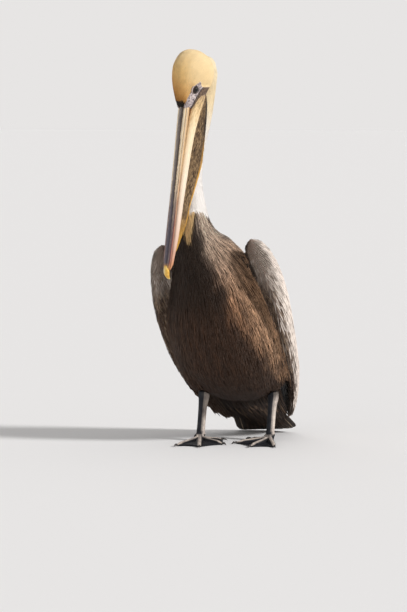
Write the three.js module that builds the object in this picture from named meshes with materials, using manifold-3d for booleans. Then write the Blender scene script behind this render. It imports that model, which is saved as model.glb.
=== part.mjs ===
// An adult brown pelican standing at rest, head drawn back on a curved neck and bill pointed down in front of
// the breast: a still, life-size model. Millimetres, +Z up. The bird faces -Y, its left is +X, its soles are z = 0.
import * as THREE from "three";
import { mergeVertices } from "three/addons/utils/BufferGeometryUtils.js";
import Module from "manifold-3d";

const wasm = await Module();
wasm.setup();

// Driving dimensions
const BILL_LENGTH = 310; // forehead to the tip of the nail
const BODY_HALF_WIDTH = 112; // the trunk alone, at its fullest
const EYE_RADIUS = 7;
const TOE_REACH = { hallux: 44, inner: 76, middle: 100, outer: 95 };
const TAIL_FEATHERS = 9;
const PRIMARIES = 6;

// Attitude, in degrees
const LEAN = -4.6; // the trunk leans a little to the bird's right, over its straight leg
const HEAD_TURN = 28; // the face is turned to the bird's right
const BILL_PITCH = 81.6; // the bill's line below the horizontal
const FOOT_HEADING = { left: -2, right: 20 }; // middle toe from -Y towards +X

const GAP = 0.35; // between pieces that meet
const BIG = 2000; // a block past the whole bird, for cutting
const rad = THREE.MathUtils.degToRad;
const vec = (x, y, z) => new THREE.Vector3(x, y, z);

// ---- Solids -------------------------------------------------------------------------------------------------

// Only positions, with shared vertices merged and faces turned outwards.
function closed(geometry) {
  const bare = geometry.clone();
  for (const name of Object.keys(bare.attributes)) {
    if (name !== "position") bare.deleteAttribute(name);
  }
  const merged = mergeVertices(bare, 1e-3);
  const p = merged.getAttribute("position");
  const index = merged.index.array;
  const corners = [vec(), vec(), vec()];
  let sixfoldVolume = 0;
  for (let i = 0; i < index.length; i += 3) {
    corners.forEach((corner, k) => corner.fromBufferAttribute(p, index[i + k]));
    sixfoldVolume += corners[0].dot(corners[1].cross(corners[2]));
  }
  if (sixfoldVolume < 0) index.reverse();
  return merged;
}

function toSolid(geometry) {
  const g = closed(geometry);
  return new wasm.Manifold(
    new wasm.Mesh({
      numProp: 3,
      vertProperties: new Float32Array(g.getAttribute("position").array),
      triVerts: new Uint32Array(g.index.array),
    }),
  );
}

// The same shape with its surface moved outwards, to cut a neighbour clear of it.
function grown(geometry, by = GAP) {
  const g = closed(geometry);
  g.computeVertexNormals();
  const p = g.getAttribute("position");
  const n = g.getAttribute("normal");
  for (let i = 0; i < p.count; i++) {
    p.setXYZ(i, p.getX(i) + by * n.getX(i), p.getY(i) + by * n.getY(i), p.getZ(i) + by * n.getZ(i));
  }
  return toSolid(g);
}

const joined = (solids) => solids.reduce((whole, next) => whole.add(next));

// Cuts leave slivers where surfaces graze, and the piece itself is the largest body.
function largest(solid) {
  return solid.decompose().reduce((best, next) => (next.volume() > best.volume() ? next : best));
}

// Everything on the side of a plane that its normal points to.
function halfSpace(point, normal) {
  const block = new THREE.BoxGeometry(BIG, BIG, BIG).translate(0, 0, BIG / 2);
  const turn = new THREE.Quaternion().setFromUnitVectors(vec(0, 0, 1), normal.clone().normalize());
  return toSolid(block.applyQuaternion(turn).translate(point.x, point.y, point.z));
}

const bird = new THREE.Group();

function addPiece(name, solid, material) {
  const { vertProperties, triVerts } = largest(solid).getMesh();
  const geometry = new THREE.BufferGeometry();
  geometry.setAttribute("position", new THREE.BufferAttribute(new Float32Array(vertProperties), 3));
  geometry.setIndex(new THREE.BufferAttribute(new Uint32Array(triVerts), 1));
  geometry.computeVertexNormals();
  const mesh = new THREE.Mesh(geometry, material);
  mesh.name = name;
  bird.add(mesh);
}

// A closed body along a smooth line. A station is [point, half width, half depth above, half depth below, bend]:
// width runs along `across`, above is across x line, and bend curls both edges away from above.
// `blunt` is the share of the line over which each end rounds off; a `box` under 1 squares the section up.
function sweep(stations, across, { rings = 14, sides = 16, blunt = [0.15, 0.15], box = 1 } = {}) {
  const line = new THREE.CatmullRomCurve3(stations.map((s) => vec(...s[0])), false, "centripetal");
  const size = new THREE.CatmullRomCurve3(stations.map((s) => vec(s[1], s[2], s[3])), false, "centripetal");
  const curl = new THREE.CatmullRomCurve3(stations.map((s) => vec(s[4] ?? 0, 0, 0)), false, "centripetal");
  const rounded = (near, share) => (near < share ? Math.sqrt(1 - (1 - near / share) ** 2) : 1);
  const shape = new THREE.SphereGeometry(1, sides, rings);
  const p = shape.getAttribute("position");
  const side = vec(...across);
  for (let i = 0; i < p.count; i++) {
    const t = Math.acos(THREE.MathUtils.clamp(p.getY(i), -1, 1)) / Math.PI;
    const around = Math.atan2(p.getZ(i), p.getX(i));
    const along = line.getTangent(THREE.MathUtils.clamp(t, 1e-4, 1 - 1e-4));
    const wide = side.clone().addScaledVector(along, -side.dot(along)).normalize();
    const up = vec().crossVectors(wide, along);
    const [w, above, below] = size.getPoint(t).toArray();
    const end = rounded(t, blunt[0]) * rounded(1 - t, blunt[1]);
    const [c, s] = [Math.cos(around), Math.sin(around)].map((v) => Math.sign(v) * Math.abs(v) ** box);
    const point = line.getPoint(t);
    point.addScaledVector(wide, end * w * c);
    point.addScaledVector(up, end * (s > 0 ? above : below) * s - curl.getPoint(t).x * (end * c) ** 2);
    p.setXYZ(i, point.x, point.y, point.z);
  }
  return shape;
}

const mirrored = (stations) => stations.map(([[x, y, z], ...rest]) => [[-x, y, z], ...rest]);

// ---- Materials ----------------------------------------------------------------------------------------------

const finish = (color, roughness) => new THREE.MeshStandardMaterial({ color, roughness, metalness: 0 });
const CROWN = finish(0xe6c987, 0.9);
const NECK_WHITE = finish(0xf0e8dc, 0.9);
const BREAST = finish(0x3b2f28, 0.9);
const SILVER = finish(0xa79c92, 0.85);
const QUILL_DARK = finish(0x2a2522, 0.75);
const HORN = finish(0xcbb9a4, 0.45);
const NAIL = finish(0xe0b545, 0.4);
const POUCH_SKIN = finish(0x5d4c32, 0.6);
const LEG_SKIN = finish(0x3c3d44, 0.6);
const CLAW = finish(0x1b1a1c, 0.4);
const EYE = finish(0x2b1d14, 0.1);

// ---- Trunk --------------------------------------------------------------------------------------------------

// The trunk, wings and tail are made upright and symmetric, then leaned together about the line of travel.
const leaned = (geometry) => geometry.rotateY(rad(LEAN));
const leanedPoint = (x, y, z) => vec(x, y, z).applyAxisAngle(vec(0, 1, 0), rad(LEAN));
const RIGHT_TO_LEFT = [1, 0, 0];
const w = BODY_HALF_WIDTH;

// From the root of the neck, down the keel of the breast, to the root of the tail. Above is the back.
const trunkShape = leaned(
  sweep(
    [
      [[-13, -86, 456], 0.19 * w, 26, 24],
      [[-13, -86, 418], 0.24 * w, 44, 38],
      [[-12, -80, 380], 0.4 * w, 60, 48],
      [[-3, -62, 338], 0.62 * w, 72, 62],
      [[0, -36, 286], 0.85 * w, 80, 80],
      [[0, -8, 228], 0.99 * w, 76, 90],
      [[0, 20, 174], w, 68, 86],
      [[0, 52, 130], 0.87 * w, 56, 62],
      [[0, 90, 94], 0.6 * w, 46, 34],
      [[0, 128, 60], 0.34 * w, 20, 16],
    ],
    RIGHT_TO_LEFT,
    { rings: 18, sides: 22, blunt: [0.05, 0.1] },
  ),
);
const trunkClear = grown(trunkShape);

// ---- Legs and webbed feet -----------------------------------------------------------------------------------

const WEB = { bottom: 0.6, top: 3 };
const ANKLE = { left: vec(53, 44, 0), right: vec(-71, 4, 0) };
const HEEL_HEIGHT = 84;
const HEEL_BEHIND = 20;
const TOE_ANGLE = { hallux: 98, inner: 36, middle: 0, outer: -27 }; // towards the other foot from the middle toe
const TOE_RADIUS = { root: 7, tip: 3.6 };
const CLAW_LENGTH = 13;

function footOf(side) {
  const inward = side === "left" ? -1 : 1;
  const ankle = ANKLE[side];
  const heading = (angle) => rad(FOOT_HEADING[side] + inward * angle);
  const onFloor = (angle, reach, height) =>
    vec(ankle.x + reach * Math.sin(heading(angle)), ankle.y - reach * Math.cos(heading(angle)), height);
  const floor = halfSpace(vec(0, 0, 0), vec(0, 0, 1));
  const toes = Object.keys(TOE_REACH);

  const toeSolids = toes.map((toe) => {
    const at = (share, height) => onFloor(TOE_ANGLE[toe], share * TOE_REACH[toe], height).toArray();
    const slim = toe === "hallux" ? 0.75 : 1;
    const [root, tip] = [TOE_RADIUS.root * slim, TOE_RADIUS.tip * slim];
    const stations = [
      [at(-0.06, 6), root, root, root],
      [at(0.3, 3.6), 0.72 * root, 0.8 * root, root],
      [at(0.62, 3.2), 0.6 * root, 0.66 * root, root],
      [at(1, 2.6), tip, tip, tip],
    ];
    return toSolid(sweep(stations, [0, 0, 1], { rings: 5, sides: 6, blunt: [0.12, 0.08] })).intersect(floor);
  });

  // The web's free edge sags in between each two toe tips.
  const outline = new THREE.Shape();
  const start = onFloor(TOE_ANGLE.outer, -0.05 * TOE_REACH.outer, 0);
  outline.moveTo(start.x, start.y);
  const ordered = ["outer", "middle", "inner", "hallux"];
  ordered.forEach((toe, i) => {
    const tip = onFloor(TOE_ANGLE[toe], 0.97 * TOE_REACH[toe], 0);
    if (i === 0) {
      outline.lineTo(tip.x, tip.y);
      return;
    }
    const last = ordered[i - 1];
    const between = (TOE_ANGLE[toe] + TOE_ANGLE[last]) / 2;
    const sag = onFloor(between, 0.78 * 0.5 * (TOE_REACH[toe] + TOE_REACH[last]), 0);
    outline.quadraticCurveTo(sag.x, sag.y, tip.x, tip.y);
  });
  outline.closePath();
  const web = new THREE.ExtrudeGeometry(outline, {
    depth: WEB.top - WEB.bottom,
    bevelEnabled: false,
    curveSegments: 4,
  }).translate(0, 0, WEB.bottom);

  const clawShapes = toes.map((toe) => {
    const at = (extra, height) => onFloor(TOE_ANGLE[toe], TOE_REACH[toe] + extra, height).toArray();
    const long = CLAW_LENGTH * (toe === "hallux" ? 0.7 : 1);
    const stations = [
      [at(-3, 3.2), 2.2, 2.2, 2],
      [at(0.45 * long, 4), 2, 2.2, 2],
      [at(long, 1.4), 0.8, 0.8, 0.8],
    ];
    return sweep(stations, [0, 0, 1], { rings: 5, sides: 5, blunt: [0.1, 0.25] });
  });
  return { toes, foot: joined([toSolid(web), ...toeSolids]), clawShapes, ankle, onFloor };
}

function addLeg(side) {
  const { toes, foot, clawShapes, ankle } = footOf(side);
  const knob = vec(ankle.x, ankle.y + HEEL_BEHIND, HEEL_HEIGHT);
  const lean = (share, out = 0) => vec().lerpVectors(ankle, knob, share).add(vec(0, out, 0));
  const tarsusShape = sweep(
    [
      [lean(0.1).toArray(), 8.5, 9, 9],
      [lean(0.22).toArray(), 7.6, 8, 8.5],
      [lean(0.5).toArray(), 7.4, 8, 8],
      [lean(0.82).toArray(), 8.2, 9, 9],
      [lean(0.98, 2).toArray(), 10.5, 11, 10],
      [lean(1.22, -4).toArray(), 9, 10, 10],
    ],
    RIGHT_TO_LEFT,
    { rings: 10, sides: 10, blunt: [0.08, 0.1] },
  );
  const inward = side === "left" ? -1 : 1;
  const thighShape = sweep(
    [
      [[knob.x, knob.y - 2, HEEL_HEIGHT + 8], 12, 12, 14],
      [[knob.x - inward * 4, knob.y - 10, HEEL_HEIGHT + 30], 25, 26, 30],
      [[knob.x - inward * 8, knob.y - 22, HEEL_HEIGHT + 68], 36, 38, 42],
      [[knob.x + inward * 2, knob.y - 34, HEEL_HEIGHT + 124], 30, 34, 38],
    ],
    RIGHT_TO_LEFT,
    { rings: 10, sides: 12, blunt: [0.14, 0.3] },
  );
  addPiece("thigh_" + side, toSolid(thighShape).subtract(trunkClear), BREAST);
  const shank = toSolid(tarsusShape).subtract(trunkClear).subtract(grown(thighShape));
  addPiece("tarsus_" + side, shank, LEG_SKIN);
  const clawsClear = joined(clawShapes.map((claw) => grown(claw)));
  addPiece("foot_" + side, foot.subtract(grown(tarsusShape)).subtract(clawsClear), LEG_SKIN);
  toes.forEach((toe, i) => addPiece("claw_" + side + "_" + toe, toSolid(clawShapes[i]), CLAW));
  return grown(thighShape);
}

const thighClear = { left: addLeg("left"), right: addLeg("right") };
addPiece("trunk", toSolid(trunkShape), BREAST);

// ---- Tail ---------------------------------------------------------------------------------------------------

const TAIL_ROOT = [0, 112, 62];
const TAIL_TIP = [0, 206, 0];
const TAIL_SPREAD = 6; // each outermost feather from the middle one, in degrees
const TAIL_WIDTH = 12; // of one feather, half its width

function tailFeather(i) {
  const share = (2 * i) / (TAIL_FEATHERS - 1) - 1;
  const turn = rad(share * TAIL_SPREAD);
  const [root, tip] = [vec(...TAIL_ROOT), vec(...TAIL_TIP)];
  const reach = tip.clone().sub(root).multiplyScalar(1 - 0.1 * share ** 2);
  const at = (part, rise) =>
    reach.clone().multiplyScalar(part).applyAxisAngle(vec(0, 0, 1), -turn)
      .add(root).add(vec(share * 27, 0, rise - 3 * Math.abs(share))).toArray();
  const stations = [
    [at(-0.25, 1), 4, 2, 2],
    [at(0.45, 3.5), 0.8 * TAIL_WIDTH, 1.7, 1.7],
    [at(0.85, 2.4), TAIL_WIDTH, 1.5, 1.5],
    [at(1, 1.6), 0.9 * TAIL_WIDTH, 1.2, 1.2],
  ];
  return leaned(sweep(stations, RIGHT_TO_LEFT, { rings: 5, sides: 6, blunt: [0.1, 0.1] }));
}

const tailRest = halfSpace(vec(0, 0, 0), vec(0, 0, 1));
const tailShapes = Array.from({ length: TAIL_FEATHERS }, (_, i) => tailFeather(i));
const tail = joined(tailShapes.map(toSolid));
const tailClear = joined(tailShapes.map((shape) => grown(shape)));
addPiece("tail", tail.subtract(trunkClear).intersect(tailRest), QUILL_DARK);

// ---- Folded wings -------------------------------------------------------------------------------------------

// From the wrist, high on the breast, down and back along the flank to the wing tip. Above is outwards.
const WING_LINE = [
  [[81, -92, 384], 13, 15, 18, 3],
  [[88, -60, 341], 42, 26, 24, 9],
  [[94, -8, 277], 63, 25, 20, 17],
  [[93, 42, 206], 67, 18, 20, 20],
  [[85, 90, 132], 54, 14, 14, 16],
  [[69, 132, 71], 34, 9, 8, 8],
  [[51, 168, 26], 14, 4, 4, 3],
];
const STAND_OFF = { left: [10, 12, 9, 7, 6, 3, 0], right: [] }; // the left wing is held a little away from the body
const WING_ACROSS = [0.55, -0.68, -0.48]; // across the folded wing, from over the back to its front edge
const PRIMARY_ROOT = [86, 100, 96];
const PRIMARY_TIP = [52, 190, 10];

function addWing(side) {
  const flip = (stations) => (side === "left" ? stations : mirrored(stations));
  const line = WING_LINE.map(([[x, y, z], ...sizes], i) => [[x + (STAND_OFF[side][i] ?? 0), y, z], ...sizes]);
  const across = side === "left" ? WING_ACROSS : WING_ACROSS.map((v, i) => (i ? -v : v));
  const wingShape = leaned(sweep(flip(line), across, { rings: 14, sides: 12, blunt: [0.1, 0.14] }));
  const wing = toSolid(wingShape).subtract(trunkClear).subtract(thighClear[side]).subtract(tailClear);

  // The folded primaries lie in a stack, each a little shorter and higher than the last.
  const blades = Array.from({ length: PRIMARIES }, (_, i) => {
    const back = i * 13; // each tip falls this far short of the one below
    const [root, tip] = [vec(...PRIMARY_ROOT), vec(...PRIMARY_TIP)];
    const along = tip.clone().sub(root).normalize();
    const shift = vec(-0.6 * i, 2.4 * i, 1.7 * i);
    const at = (point, behind) => point.clone().addScaledVector(along, -behind).add(shift).toArray();
    const middle = root.clone().lerp(tip, 0.55).add(vec(5, 0, 0));
    const stations = [
      [at(root, 0), 11, 2, 2, 1],
      [at(middle, 0.5 * back), 12, 1.8, 1.8, 2],
      [at(tip, back), 6, 1, 1, 0.5],
    ];
    return toSolid(leaned(sweep(flip(stations), across, { rings: 5, sides: 6, blunt: [0.1, 0.22] })));
  });
  const wingClear = grown(wingShape);
  const cut = leanedPoint(side === "left" ? 108 : -108, 30, 240);
  const down = vec(0, 0.5, -0.86);
  const below = halfSpace(cut.clone().addScaledVector(down, GAP), down);
  const above = halfSpace(cut, down.clone().negate());
  addPiece("wing_" + side + "_arm", wing.intersect(above), SILVER);
  addPiece("wing_" + side + "_secondaries", wing.intersect(below), SILVER);
  const floorClear = halfSpace(vec(0, 0, 1), vec(0, 0, 1));
  const primaries = joined(blades).subtract(wingClear).subtract(trunkClear).subtract(tailClear)
    .subtract(thighClear[side]);
  addPiece("wing_" + side + "_primaries", primaries.intersect(floorClear), QUILL_DARK);
}

addWing("left");
addWing("right");

// ---- Head, in its own frame: forward along the bill, left across, up over the crown ---------------------------

const BILL_BASE = vec(-48, -132, 622);
const level = vec(-Math.sin(rad(HEAD_TURN)), -Math.cos(rad(HEAD_TURN)), 0);
const pitch = rad(BILL_PITCH);
const FORWARD = level.clone().multiplyScalar(Math.cos(pitch)).add(vec(0, 0, -Math.sin(pitch)));
const CROWNWARD = level.clone().multiplyScalar(Math.sin(pitch)).add(vec(0, 0, Math.cos(pitch)));
const LEFTWARD = vec().crossVectors(CROWNWARD, FORWARD);
const RIGHTWARD = LEFTWARD.clone().negate().toArray();
const headPoint = (ahead, left, up) =>
  BILL_BASE.clone().addScaledVector(FORWARD, ahead).addScaledVector(LEFTWARD, left)
    .addScaledVector(CROWNWARD, up).toArray();
const onHead = (ahead, up, ...sizes) => [headPoint(ahead, 0, up), ...sizes];

const headShape = sweep(
  [
    onHead(10, 0, 13, 11, 14),
    onHead(-12, -1, 20.5, 23, 26),
    onHead(-34, -5, 27, 39, 34),
    onHead(-60, -13, 34.5, 49.5, 38),
    onHead(-84, -25, 33.5, 48, 32),
    onHead(-102, -36, 25, 32, 24),
  ],
  LEFTWARD.toArray(),
  { rings: 12, sides: 16, blunt: [0.14, 0.32] },
);

const eyes = [["eye_left", 1], ["eye_right", -1]].map(([name, turn]) => {
  const place = vec(...headPoint(-33, turn * 21.5, 1));
  return [name, new THREE.SphereGeometry(EYE_RADIUS, 12, 8).translate(place.x, place.y, place.z)];
});

// ---- Neck: an S that rises from the breast and curls over into the back of the head --------------------------

const neckShape = sweep(
  [
    [[-38, -60, 372], 28, 30, 30],
    [[-45, -82, 424], 24, 28, 26],
    [[-54, -84, 482], 22, 24, 24],
    [[-55, -72, 542], 22, 23, 23],
    [[-48, -58, 602], 24, 25, 24],
    [[-43, -54, 652], 25, 28, 27],
    [[-36, -74, 692], 29, 29, 30],
    [[-41, -100, 704], 24, 22, 24],
  ],
  RIGHT_TO_LEFT,
  { rings: 16, sides: 14, blunt: [0.1, 0.12] },
);

// ---- Bill ---------------------------------------------------------------------------------------------------

const L = BILL_LENGTH;
const upperShape = sweep(
  [
    onHead(-16, 2, 13, 9, 4),
    onHead(0.02 * L, 2, 15.5, 10, 3.5),
    onHead(0.25 * L, 2, 12.5, 8.5, 3),
    onHead(0.5 * L, 2, 10.5, 6.5, 2.5),
    onHead(0.75 * L, 2, 11.5, 5, 2.5),
    onHead(0.9 * L, 2, 11, 4.5, 2.5),
    onHead(0.97 * L, 1, 7, 4, 3),
  ],
  RIGHTWARD,
  { rings: 12, sides: 12, blunt: [0.05, 0.07], box: 0.85 },
);
const hookShape = sweep(
  [
    onHead(0.9 * L, 3, 3.6, 3, 3),
    onHead(0.955 * L, 2.5, 5, 4, 4),
    onHead(0.99 * L, -2, 4, 4.5, 4),
    onHead(0.99 * L, -11, 1.6, 2, 2),
  ],
  RIGHTWARD,
  { rings: 8, sides: 8, blunt: [0.12, 0.15] },
);
const lowerShape = sweep(
  [
    onHead(-34, -20, 23, 9, 13),
    onHead(-14, -17, 21.5, 12, 16),
    onHead(0, -14, 18.5, 10, 16),
    onHead(0.13 * L, -11, 15.5, 8, 11),
    onHead(0.25 * L, -10, 13, 8, 9),
    onHead(0.5 * L, -8.5, 10.5, 7, 7),
    onHead(0.75 * L, -7, 9.5, 5, 6.5),
    onHead(0.94 * L, -5, 6.5, 3, 3.5),
  ],
  RIGHTWARD,
  { rings: 12, sides: 12, blunt: [0.06, 0.05], box: 0.75 },
);
const pouchShape = sweep(
  [
    onHead(-40, -30, 14, 8, 12),
    onHead(-12, -28, 12.5, 8, 23),
    onHead(0.07 * L, -25, 11.5, 8, 29),
    onHead(0.2 * L, -21, 10.5, 8, 34),
    onHead(0.31 * L, -19, 9.5, 7, 36),
    onHead(0.43 * L, -17, 8.5, 6, 30),
    onHead(0.55 * L, -15, 7.5, 6, 23),
    onHead(0.67 * L, -13, 7, 5, 20),
    onHead(0.78 * L, -11, 6, 4, 11),
    onHead(0.86 * L, -9, 4.5, 3, 5),
  ],
  RIGHTWARD,
  { rings: 14, sides: 10, blunt: [0.06, 0.05] },
);

const eyesClear = joined(eyes.map(([, shape]) => grown(shape)));
const head = toSolid(headShape).subtract(eyesClear);
const headClear = grown(headShape);
const upperClear = grown(upperShape);
const lowerClear = grown(lowerShape);
const hookClear = grown(hookShape);
const pouch = toSolid(pouchShape).subtract(lowerClear).subtract(upperClear).subtract(headClear);
const neck = toSolid(neckShape).subtract(trunkClear).subtract(headClear).subtract(grown(pouchShape))
  .subtract(lowerClear);

addPiece("head", head, CROWN);
eyes.forEach(([name, shape]) => addPiece(name, toSolid(shape), EYE));
addPiece("bill_upper", toSolid(upperShape).subtract(headClear).subtract(hookClear), HORN);
addPiece("bill_hook", toSolid(hookShape), NAIL);
addPiece("bill_lower", toSolid(lowerShape).subtract(headClear).subtract(upperClear).subtract(hookClear), HORN);
addPiece("pouch", pouch, POUCH_SKIN);

// The neck is parted by height into three lengths.
const NECK_CUTS = [545, 640];
const between = (low, high) => halfSpace(vec(0, 0, low + GAP), vec(0, 0, 1)).intersect(
  halfSpace(vec(0, 0, high), vec(0, 0, -1)));
addPiece("neck_lower", neck.intersect(between(0, NECK_CUTS[0])), NECK_WHITE);
addPiece("neck_middle", neck.intersect(between(...NECK_CUTS)), NECK_WHITE);
addPiece("neck_upper", neck.intersect(between(NECK_CUTS[1], 0.9 * BIG)), NECK_WHITE);

// The origin is under the middle of the bird, on the floor.
const box = new THREE.Box3().setFromObject(bird);
const centre = box.getCenter(vec());
bird.position.set(-centre.x, -centre.y, -box.min.z);

export default bird;
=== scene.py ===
# A brown pelican at rest, life size: skin, bill, feet and a coat of separate vanes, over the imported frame.
import math

import bmesh
import bpy
import numpy as np
from mathutils import Matrix, Vector, noise
from mathutils.bvhtree import BVHTree


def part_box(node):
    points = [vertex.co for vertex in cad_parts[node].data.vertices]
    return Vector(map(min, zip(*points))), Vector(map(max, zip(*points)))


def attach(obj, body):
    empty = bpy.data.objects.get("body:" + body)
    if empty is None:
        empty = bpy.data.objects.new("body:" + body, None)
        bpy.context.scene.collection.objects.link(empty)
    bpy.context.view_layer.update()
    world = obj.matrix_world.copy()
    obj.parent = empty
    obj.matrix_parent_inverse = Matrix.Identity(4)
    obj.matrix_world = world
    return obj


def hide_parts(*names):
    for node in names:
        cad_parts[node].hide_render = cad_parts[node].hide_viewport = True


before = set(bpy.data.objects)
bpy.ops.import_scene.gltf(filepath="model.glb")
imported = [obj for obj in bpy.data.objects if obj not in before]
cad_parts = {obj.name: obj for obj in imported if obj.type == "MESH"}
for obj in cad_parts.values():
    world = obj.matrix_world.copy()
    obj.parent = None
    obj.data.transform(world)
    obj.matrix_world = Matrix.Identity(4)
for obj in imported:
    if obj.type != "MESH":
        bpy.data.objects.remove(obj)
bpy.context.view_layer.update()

# ---- Bearings and camera ----------------------------------------------------------------------------------
# Places on the bird are in millimetres from a point on the floor under its breast, its face to -Y and its
# left to +X. The frame's two eyes say where that point is. The camera stands five metres off, head high.

MM = 0.001
FACE_TURN, BILL_DROP, LEAN = math.radians(28), math.radians(81.6), math.radians(-4.6)
LEVEL = Vector((-math.sin(FACE_TURN), -math.cos(FACE_TURN), 0))
AHEAD = LEVEL * math.cos(BILL_DROP) - Vector((0, 0, math.sin(BILL_DROP)))
CROWNWARD = LEVEL * math.sin(BILL_DROP) + Vector((0, 0, math.cos(BILL_DROP)))
LEFTWARD = CROWNWARD.cross(AHEAD)
BILL_ROOT = Vector((-48, -132, 622))
EYE = {"ahead": -33, "up": 1, "radius": 7}


def middle(node):
    low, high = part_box(node)
    return (low + high) / 2


ORIGIN = (middle("eye_left") + middle("eye_right")) / 2 - (
    BILL_ROOT + AHEAD * EYE["ahead"] + CROWNWARD * EYE["up"]) * MM


def place(x, y, z):
    return ORIGIN + Vector((x, y, z)) * MM


def on_head(ahead, left, up):
    return place(*(BILL_ROOT + AHEAD * ahead + LEFTWARD * left + CROWNWARD * up))


def leaned(x, y, z):
    return place(x * math.cos(LEAN) + z * math.sin(LEAN), y, z * math.cos(LEAN) - x * math.sin(LEAN))


CAMERA = {"azimuth": 20, "left": 0.668, "down": 4.25,  # degrees: where it stands, and how it is turned there
          "distance": 5000, "height": 627, "lens": 159, "sensor": 36}  # millimetres
bearing, turn_left, tilt = (math.radians(CAMERA[k]) for k in ("azimuth", "left", "down"))
forward = Vector((-math.sin(bearing + turn_left), math.cos(bearing + turn_left), 0))
rightward = forward.cross(Vector((0, 0, 1)))
forward = forward * math.cos(tilt) - Vector((0, 0, math.sin(tilt)))
camera = bpy.data.objects.new("camera", bpy.data.cameras.new("camera"))
bpy.context.scene.collection.objects.link(camera)
camera.data.lens, camera.data.sensor_width = CAMERA["lens"], CAMERA["sensor"]
camera.data.clip_end = 100  # metres
camera.matrix_world = Matrix.Translation(
    place(CAMERA["distance"] * math.sin(bearing), -CAMERA["distance"] * math.cos(bearing), CAMERA["height"])
) @ Matrix((rightward, rightward.cross(forward), -forward)).transposed().to_4x4()
bpy.context.scene.camera = camera

# ---- Floor and light --------------------------------------------------------------------------------------
# A pale matt studio floor that runs far back, under an even sky. One broad soft lamp stands to the bird's
# left and a weaker one to its right.

FLOOR_COLOUR, SKY_COLOUR = "#f2f0ef", "#e7e5e4"
FLOOR_HALF = 60.0  # metres
SKY_LIGHT = 0.43
# Each: its way in (right of the camera's line, towards the camera, up), its strength, its spread in degrees.
LAMPS = {"key": ((0.90, 0.40, 0.58), 2.7, 10), "fill": ((-0.75, 0.6, 0.45), 0.25, 60)}


def tone(hex_colour):
    """An sRGB hex colour as linear numbers with an alpha of 1."""
    parts = [int(hex_colour[i:i + 2], 16) / 255 for i in (1, 3, 5)]
    return tuple(p / 12.92 if p <= 0.04045 else ((p + 0.055) / 1.055) ** 2.4 for p in parts) + (1.0,)


def result(node):
    """What comes out of a node: a mix of two colours leaves by its third socket, all else by the first."""
    return node.outputs[2 if node.bl_idname == "ShaderNodeMix" else 0]


def add(tree, kind, settings=None, links=None, stops=None):
    """One more shader node: its settings, the nodes, sockets or numbers that go into it, and a ramp's
    stops. A texture with nothing in its Vector socket reads the piece's own coordinates, in metres."""
    node = tree.nodes.new("ShaderNode" + kind)
    if kind in ("TexNoise", "TexVoronoi") and "Vector" not in (links or {}):
        links = {"Vector": add(tree, "TexCoord").outputs["Object"], **(links or {})}
    for name, value in (settings or {}).items():
        setattr(node, name, value)
    for socket, value in (links or {}).items():
        if isinstance(value, bpy.types.Node):
            value = result(value)
        if isinstance(value, bpy.types.NodeSocket):
            tree.links.new(value, node.inputs[socket])
        else:
            node.inputs[socket].default_value = value
    if stops:
        ramp = node.color_ramp.elements
        while len(ramp) < len(stops):
            ramp.new(0.5)
        for element, (where, colour) in zip(ramp, stops):
            element.position, element.color = where, tone(colour)
    return node


def finish_of(name, roughness, **sockets):
    """A material with its shader, roughness and any other fixed numbers set."""
    made = bpy.data.materials.new(name)
    made.use_nodes = True
    shader = made.node_tree.nodes["Principled BSDF"]
    shader.inputs["Roughness"].default_value = roughness
    for socket, value in sockets.items():
        shader.inputs[socket.replace("_", " ")].default_value = value
    return made, made.node_tree, shader


bpy.context.scene.view_settings.view_transform = "Standard"
world = bpy.data.worlds.new("studio")
bpy.context.scene.world = world
world.use_nodes = True
sky = world.node_tree
seen = add(sky, "LightPath")
white = add(sky, "Background", links={"Color": (1, 1, 1, 1), "Strength": SKY_LIGHT})
pale = add(sky, "Background", links={"Color": tone(SKY_COLOUR), "Strength": 1.0})
either = add(sky, "Math", {"operation": "MAXIMUM"},
             {0: seen.outputs["Is Camera Ray"], 1: seen.outputs["Is Glossy Ray"]})
mixed = add(sky, "MixShader", links={0: either.outputs[0], 1: white.outputs[0], 2: pale.outputs[0]})
sky.links.new(mixed.outputs[0], sky.nodes["World Output"].inputs["Surface"])

for lamp, ((right, near_by, up), strength, spread) in LAMPS.items():
    light = bpy.data.lights.new(lamp, "SUN")
    light.energy, light.angle = strength, math.radians(spread)
    holder = bpy.data.objects.new(lamp, light)
    bpy.context.scene.collection.objects.link(holder)
    flat = Vector((forward.x, forward.y, 0)).normalized()
    source = rightward * right - flat * near_by + Vector((0, 0, up))
    holder.rotation_mode = "QUATERNION"
    holder.rotation_quaternion = source.to_track_quat("Z", "Y")

floor_mesh = bpy.data.meshes.new("floor")
floor_corners = [(x * FLOOR_HALF, y * FLOOR_HALF, 0) for x, y in ((-1, -1), (1, -1), (1, 1), (-1, 1))]
floor_mesh.from_pydata(floor_corners, [], [(0, 1, 2, 3)])
floor = bpy.data.objects.new("floor", floor_mesh)
bpy.context.scene.collection.objects.link(floor)
# Matt studio paper gives the eye a soft shadow and no shine.
floor_finish, tree, shader = finish_of("matt_floor", 0.9, Specular_IOR_Level=0.1)
shader.inputs["Base Color"].default_value = tone(FLOOR_COLOUR)
floor_mesh.materials.append(floor_finish)

# ---- Skin -------------------------------------------------------------------------------------------------
# One skin runs over the head, neck, trunk, thighs and folded wings without a seam, under the tips of the
# feathers by the coat's depth there. It is bare only on the face.

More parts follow.
